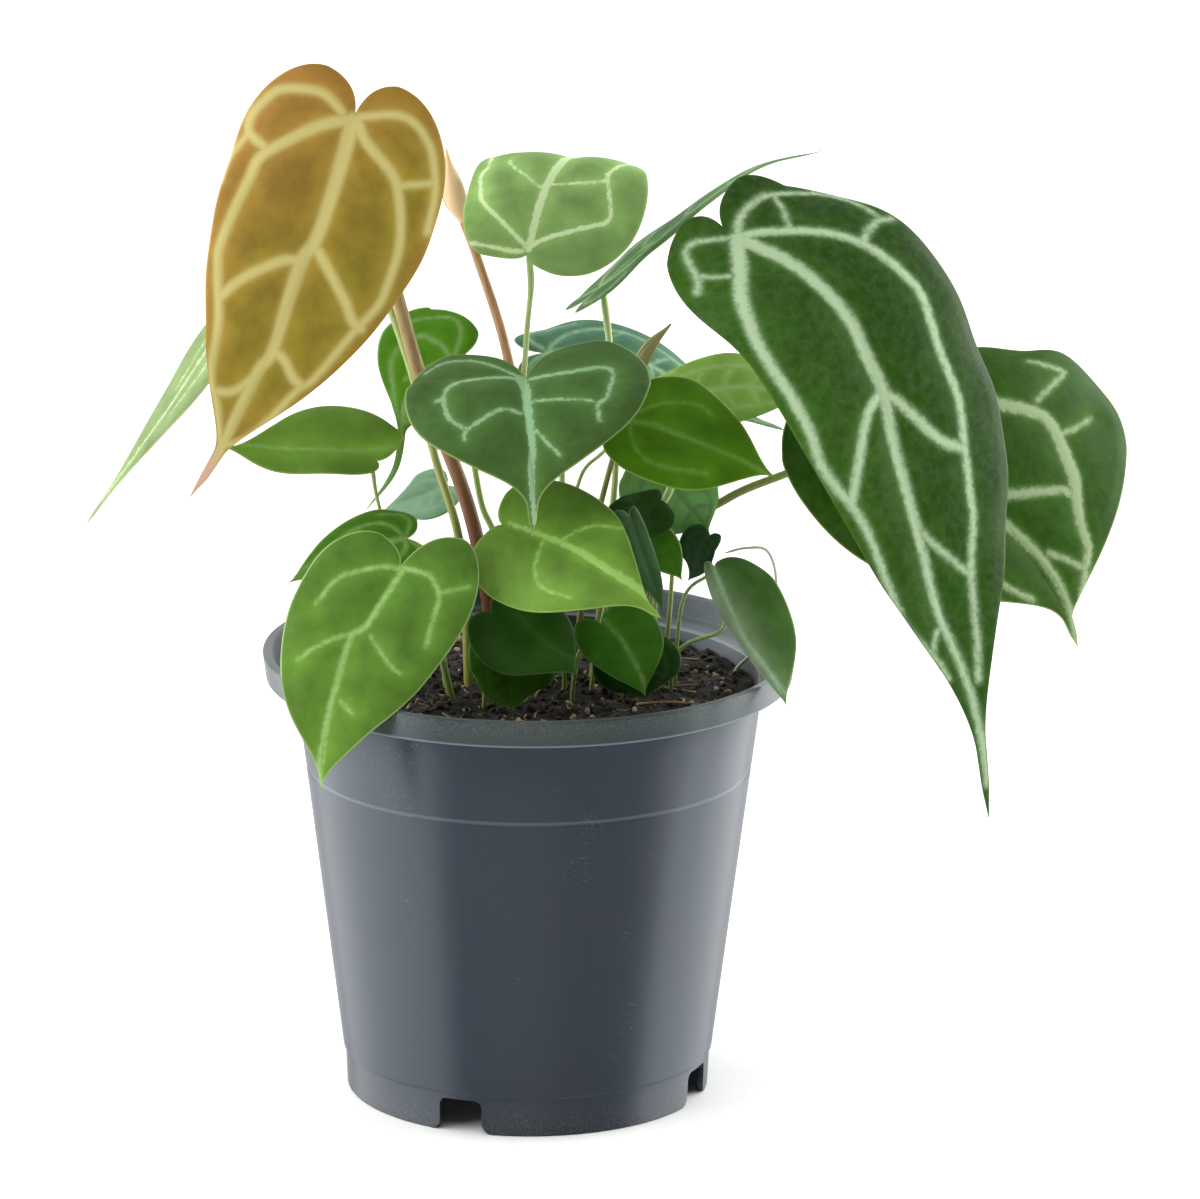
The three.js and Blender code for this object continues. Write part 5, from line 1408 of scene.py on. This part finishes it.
def scuff_lines(tree, place, turn, length):
    """Thin straight scratches, all turned one way, this many times as long as wide."""
    turned = add(tree, "ShaderNodeMapping", {"Vector": place, "Rotation": (turn, turn, turn)})
    drawn = add(tree, "ShaderNodeMapping",
                {"Vector": turned.outputs[0], "Scale": (1, 1, 1 / length)})
    streak = add(tree, "ShaderNodeTexNoise", {
        "Vector": drawn.outputs[0], "Scale": 1 / (0.35 * MM), "Detail": 0.0,
    }).outputs["Fac"]
    return mask(tree, streak, 0.72, 0.8)


def pot_plastic(settings):
    """Injection-moulded polypropylene: satin blue-grey with a broad sheen, fine scuffs that run
    every way, and a little dried soil dust that dulls the lip and the foot. Pale lines in the
    groove and under the lip are painted highlights, and the darker lip is painted shade."""
    material, tree, shader = new_material("moulded_polypropylene")
    place = add(tree, "ShaderNodeTexCoord").outputs["Object"]
    height = add(tree, "ShaderNodeSeparateXYZ", {"Vector": place}).outputs["Z"]
    cloud = grain_noise(tree, 22, 3.0)
    fine = grain_noise(tree, 0.5, 2.0)
    wear_and_painted_highlight, under = settings.wear_and_painted_highlight, POT_HEIGHT - LIP_HEIGHT
    base, paler = ((*(min(1, c * k) for c in settings.colour), 1.0) for k in (1, 1.5))
    colour = mix(tree, mask(tree, cloud, 0.3, 0.75), base, paler)

    scuff = 0.0
    for turn, length in SCUFFS:
        scuff = math_node(tree, "MAXIMUM", scuff_lines(tree, place, turn, length), scuff)
    patch = mask(tree, grain_noise(tree, 16, 1.0), 0.58, 0.7)
    scuff = math_node(tree, "MULTIPLY", scuff, patch)
    colour = over(tree, colour, "b8bcc0", scuff, 0.25 * wear_and_painted_highlight)

    # Painted highlight: pale lines in the groove and along the lip's lower edge
    groove = math_node(tree, "MULTIPLY", band(tree, height, GROOVE_Z, 0.2, 0.6), 0.2)
    lip_edge_highlight = band(tree, height, under + 0.2, 0.25, 0.5)
    painted_highlight = math_node(tree, "MAXIMUM", groove, lip_edge_highlight)
    colour = over(tree, colour, "a8b2b8", painted_highlight, 1.2 * wear_and_painted_highlight)

    specks = add(tree, "ShaderNodeTexVoronoi", {"Vector": place, "Scale": 1 / (6.5 * MM)})
    speck = math_node(tree, "MULTIPLY", mask(tree, specks.outputs["Distance"], 0.12, 0.09),
                      mask(tree, cloud, 0.5, 0.56))
    colour = over(tree, colour, "2a221c", speck, 0.8)
    # Painted shade: from the lip's lower edge up, the plastic is drawn darker and greener than the
    # wall
    lip = mask(tree, height, (under - 0.5) * MM, (under + 0.5) * MM)
    colour = over(tree, colour, "1e2c26", lip, 0.7)
    ends = math_node(tree, "MAXIMUM", mask(tree, height, 12 * MM, 0.0),
                     mask(tree, height, 94.5 * MM, 100 * MM))
    dust = math_node(tree, "MULTIPLY", ends, mask(tree, fine, 0.35, 0.8))
    colour = over(tree, colour, "8c8478", dust, 0.35 * wear_and_painted_highlight)

    gloss = math_node(tree, "MULTIPLY_ADD", scuff, 0.2, ranged(tree, cloud, 0.42, 0.5))
    # The turned mould leaves fine rings, which draw every reflection out up and down
    around = add(tree, "ShaderNodeTangent", direction_type="RADIAL", axis="Z").outputs["Tangent"]
    finish(tree, shader, colour, gloss, fine, 0.12, 0.1, **{
        "IOR": 1.7, "Specular Tint": (0.84, 0.93, 1.0, 1.0), "Tangent": around,
        "Anisotropic": 1.0, "Anisotropic Rotation": 0.25,
    })
    return material


def rough_stuff(name, hexes, size_mm, roughness, bump_mm=0.3):
    """Dull crumbly matter whose colour changes from grain to grain."""
    material, tree, shader = new_material(name)
    fine = grain_noise(tree, size_mm / 5, 3.0)
    first = linear(hexes[0]) if isinstance(hexes[0], str) else hexes[0]
    blotch = mask(tree, grain_noise(tree, size_mm, 2.0), 0.4, 0.6)
    colour = over(tree, first, hexes[1], blotch)
    colour = over(tree, colour, hexes[2], mask(tree, fine, 0.62, 0.75))
    gloss = ranged(tree, fine, roughness - 0.15, roughness)
    finish(tree, shader, colour, gloss, fine, 0.8, bump_mm)
    return material


# Operators

class ANTHURIUM_OT_pot(bpy.types.Operator):
    """Moulded nursery pot with its lip, groove, notched foot ring and drain holes"""
    bl_idname = "anthurium.pot"
    bl_label = "Nursery Pot"

    def execute(self, context):
        settings = context.scene.anthurium_pot
        points, faces = revolved(pot_profile(settings.corner / MM), settings.segments)
        shell = make_object("pot_shell_blank", points, faces, [pot_plastic(settings)])
        cutter = cutters()
        cut = shell.modifiers.new("openings", "BOOLEAN")
        cut.operation = "DIFFERENCE"
        cut.solver = "EXACT"
        cut.object = cutter
        pot = baked(shell, "pot_shell")
        bpy.data.objects.remove(cutter)
        pot.data.shade_smooth()
        pot.data.set_sharp_from_angle(angle=math.radians(40))
        finish_piece(pot, "pot")
        return {"FINISHED"}


class ANTHURIUM_OT_soil(bpy.types.Operator):
    """Damp potting mix with bark crumbs, pale grit and bits of straw on it"""
    bl_idname = "anthurium.soil"
    bl_label = "Potting Mix"

    def execute(self, context):
        settings = context.scene.anthurium_soil
        mix_colour = tuple(settings.colour) + (1.0,)
        damp = rough_stuff("damp_peat_mix", [mix_colour, "1a130d", "2e2216"], 2.5, 0.98, 0.6)
        points, faces = soil_mesh()
        finish_piece(make_object("potting_mix", points, faces, [damp], smooth_angle=180), "soil")
        bark = rough_stuff("pine_bark", ["160f0a", "2c1d12", "4c3520"], 3.0, 0.95)
        grit = rough_stuff("pale_grit_stone", ["a89880", "7c6a54", "d0c4b0"], 1.5, 0.9, 0.1)
        straw = rough_stuff("dry_root_fibre", ["94784c", "6c5434", "bca878"], 4.0, 0.85, 0.1)
        seed = settings.seed
        for piece in (
            scatter_piece("bark_crumbs", "crumb", settings.crumbs, (0.0004, settings.crumb_size),
                          0.0009, seed, bark),
            scatter_piece("grit_grains", "crumb", settings.grit, (0.0003, settings.grit_size),
                          0.0004, seed + 1, grit, lift=0.25),
            scatter_piece("straw_bits", "straw", settings.straw, (0.003, settings.straw_length),
                          0.0, seed + 2, straw, lift=0.3),
        ):
            finish_piece(piece, "soil")
        leaf = context.scene.anthurium_leaf
        fibres = [rod_piece(f"fibre_{i}", path, (radius, 0.6 * radius), straw, leaf)
                  for i, (radius, path) in enumerate(FIBRES)]
        finish_piece(joined("dry_fibres", *fibres), "soil")
        return {"FINISHED"}


class ANTHURIUM_OT_leaves(bpy.types.Operator):
    """Every leaf: a thin veined blade grown together with its stalk"""
    bl_idname = "anthurium.leaves"
    bl_label = "Leaves"

    def execute(self, context):
        settings = context.scene.anthurium_leaf
        for spec in LEAVES:
            name = spec["name"]
            colours = TONES[name]
            points, faces, attributes, flat = blade_mesh(spec, settings)
            skin = leaf_skin(name + "_skin", colours)
            blade = make_object(name + "_blade", points, faces, [skin], smooth_angle=80)
            set_attributes(blade.data, attributes, flat)
            joint = Surface(spec).at(np.array(JOINT_LAP), np.array(0.0))
            path = [(*spec["root"], ROOT_Z), *spec["stalk"], tuple(joint)]
            stalk = rod_piece(name + "_stalk", path, (spec["radius"], TOP_TAPER * spec["radius"]),
                              stalk_skin(name + "_stalk_skin", *colours["stalk"]), settings,
                              settings.swelling)
            finish_piece(joined(name + "_grown", blade, stalk), name)
        return {"FINISHED"}


class ANTHURIUM_OT_shoots(bpy.types.Operator):
    """Young rolled leaves on their stalks, and the dry bent stalk"""
    bl_idname = "anthurium.shoots"
    bl_label = "Shoots"

    def execute(self, context):
        settings = context.scene.anthurium_leaf
        for name, spec in SHOOTS.items():
            dense = path_points(spec["path"], 0.25)
            bulb_start = int(spec["bulb_from"] * len(dense))
            stalk = rod_piece(name + "_stalk", dense[:bulb_start + 20:8], spec["radii"],
                              stalk_skin(name + "_stalk_skin", *spec["stalk"]), settings)
            bulb = rolled_leaf(name + "_leaf", dense[bulb_start:], spec["bulb_radius"],
                               stalk_skin(name + "_leaf_skin", *spec["leaf"]))
            finish_piece(joined(name + "_grown", stalk, bulb), name)
        dry = rod_piece("dry_stalk_bent", DRY_STALK, DRY_STALK_RADII,
                        stalk_skin("dry_stalk_skin", "bcb8a4", "dcdccc"), settings)
        finish_piece(dry, "dry_stalk")
        return {"FINISHED"}


def area_light(name, place, target, size, power):
    """A soft rectangular light at a place, turned towards a target."""
    light = bpy.data.lights.new(name, "AREA")
    light.shape = "RECTANGLE"
    light.size, light.size_y = size
    light.energy = power
    lamp = link(bpy.data.objects.new(name, light))
    lamp.location = place
    lamp.visible_camera = False
    lamp.rotation_euler = (Vector(target) - Vector(place)).to_track_quat("-Z", "Y").to_euler()


# Each light: its place, target and size in metres, the setting of its power, and its share of it
LIGHTS = {
    "key_light": ((-0.15, -0.7, 1.3), (0, 0, 0.12), (0.9, 0.9), "key", 1.0),
    "left_light": ((-1.0, 0.02, 0.42), (0, 0, 0.1), (2.0, 0.9), "fill", 1.3),
    "right_light": ((0.95, 0.3, 0.42), (0, 0, 0.1), (1.4, 0.9), "fill", 1.0),
    "back_light": ((0, 0.8, 1.6), (0, 4.2, 0), (1.6, 0.8), "back", 1.0),
}


class ANTHURIUM_OT_stage(bpy.types.Operator):
    """Plain pale floor, soft studio lights and the camera"""
    bl_idname = "anthurium.stage"
    bl_label = "Stage"

    def execute(self, context):
        settings = context.scene.anthurium_stage
        material, tree, shader = new_material("matt_paper_floor")
        speckle = grain_noise(tree, 3, 2.0)
        paper = over(tree, linear("f4f4f2"), "f8f8f7", speckle)
        feed(tree, shader, {"Base Color": paper, "Roughness": 0.9})
        turns = np.linspace(0, 2 * math.pi, FLOOR_STEPS, endpoint=False)
        reach = settings.floor / MM
        rim = [(reach * math.cos(a), reach * math.sin(a), 0) for a in turns]
        make_object("floor", rim, [list(range(FLOOR_STEPS))], [material])
        world = bpy.data.worlds.new("pale_surround")
        world.use_nodes = True
        tree = world.node_tree
        way = add(tree, "ShaderNodeTexCoord").outputs["Generated"]
        depth = add(tree, "ShaderNodeSeparateXYZ", {"Vector": way}).outputs["Y"]
        # Dimmer in front than behind, so that the leaves and the pot keep their shading
        glow = ranged(tree, depth, 0.1 * settings.surround, settings.surround, -0.5, 0.7,
                      "SMOOTHSTEP")
        feed(tree, tree.nodes["Background"], {"Color": (0.97, 0.98, 1.0, 1.0), "Strength": glow})
        context.scene.world = world
        for name, (place, target, size, power, share) in LIGHTS.items():
            area_light(name, place, target, size, share * getattr(settings, power))
        lens = bpy.data.cameras.new("photo_camera")
        lens.sensor_width = 36
        lens.lens = settings.focal
        lens.clip_end = 50
        camera = link(bpy.data.objects.new("photo_camera", lens))
        camera.location = CAMERA_PLACE
        camera.rotation_euler = camera_turn().to_euler()
        context.scene.camera = camera
        context.scene.view_settings.view_transform = "Standard"
        return {"FINISHED"}


def camera_turn():
    """The camera's axes as a rotation: it looks towards +Y, tilted down, with a slight roll."""
    tilt, roll = math.radians(CAMERA_TILT), math.radians(CAMERA_ROLL)
    level = Vector((1, 0, 0))
    upright = Vector((0, math.sin(tilt), math.cos(tilt)))
    right = level * math.cos(roll) + upright * math.sin(roll)
    up = upright * math.cos(roll) - level * math.sin(roll)
    return Matrix((right, up, right.cross(up))).transposed()


class ANTHURIUM_PT_panel(bpy.types.Panel):
    """Lists the pieces and their settings"""
    bl_idname = "ANTHURIUM_PT_panel"
    bl_label = "Potted Crystal Anthurium"
    bl_space_type = "VIEW_3D"
    bl_region_type = "UI"
    bl_category = "Anthurium"

    def draw(self, context):
        scene = context.scene
        for name, (_, operators) in GROUPS.items():
            box = self.layout.box()
            group = getattr(scene, name)
            for key in group.bl_rna.properties.keys():
                if key not in ("rna_type", "name"):
                    box.prop(group, key)
            for operator in operators:
                box.operator(operator)


GROUPS = {
    "anthurium_pot": (PotSettings, ("anthurium.pot",)),
    "anthurium_soil": (SoilSettings, ("anthurium.soil",)),
    "anthurium_leaf": (LeafSettings, ("anthurium.leaves", "anthurium.shoots")),
    "anthurium_stage": (StageSettings, ("anthurium.stage",)),
}
CLASSES = (
    *(settings for settings, _ in GROUPS.values()),
    ANTHURIUM_OT_pot, ANTHURIUM_OT_soil, ANTHURIUM_OT_leaves,
    ANTHURIUM_OT_shoots, ANTHURIUM_OT_stage, ANTHURIUM_PT_panel,
)


def register():
    for cls in CLASSES:
        bpy.utils.register_class(cls)
    for name, (settings, _) in GROUPS.items():
        setattr(bpy.types.Scene, name, PointerProperty(type=settings))


def unregister():
    for name in GROUPS:
        delattr(bpy.types.Scene, name)
    for cls in reversed(CLASSES):
        bpy.utils.unregister_class(cls)


def corners(bounds):
    """A box's two corners as plain lists."""
    return [[float(v) for v in corner] for corner in bounds]


def main():
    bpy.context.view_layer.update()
    register()
    bpy.ops.anthurium.stage()
    bpy.ops.anthurium.pot()
    bpy.ops.anthurium.soil()
    bpy.ops.anthurium.leaves()
    bpy.ops.anthurium.shoots()
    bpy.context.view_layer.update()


if __name__ == "__main__":
    main()
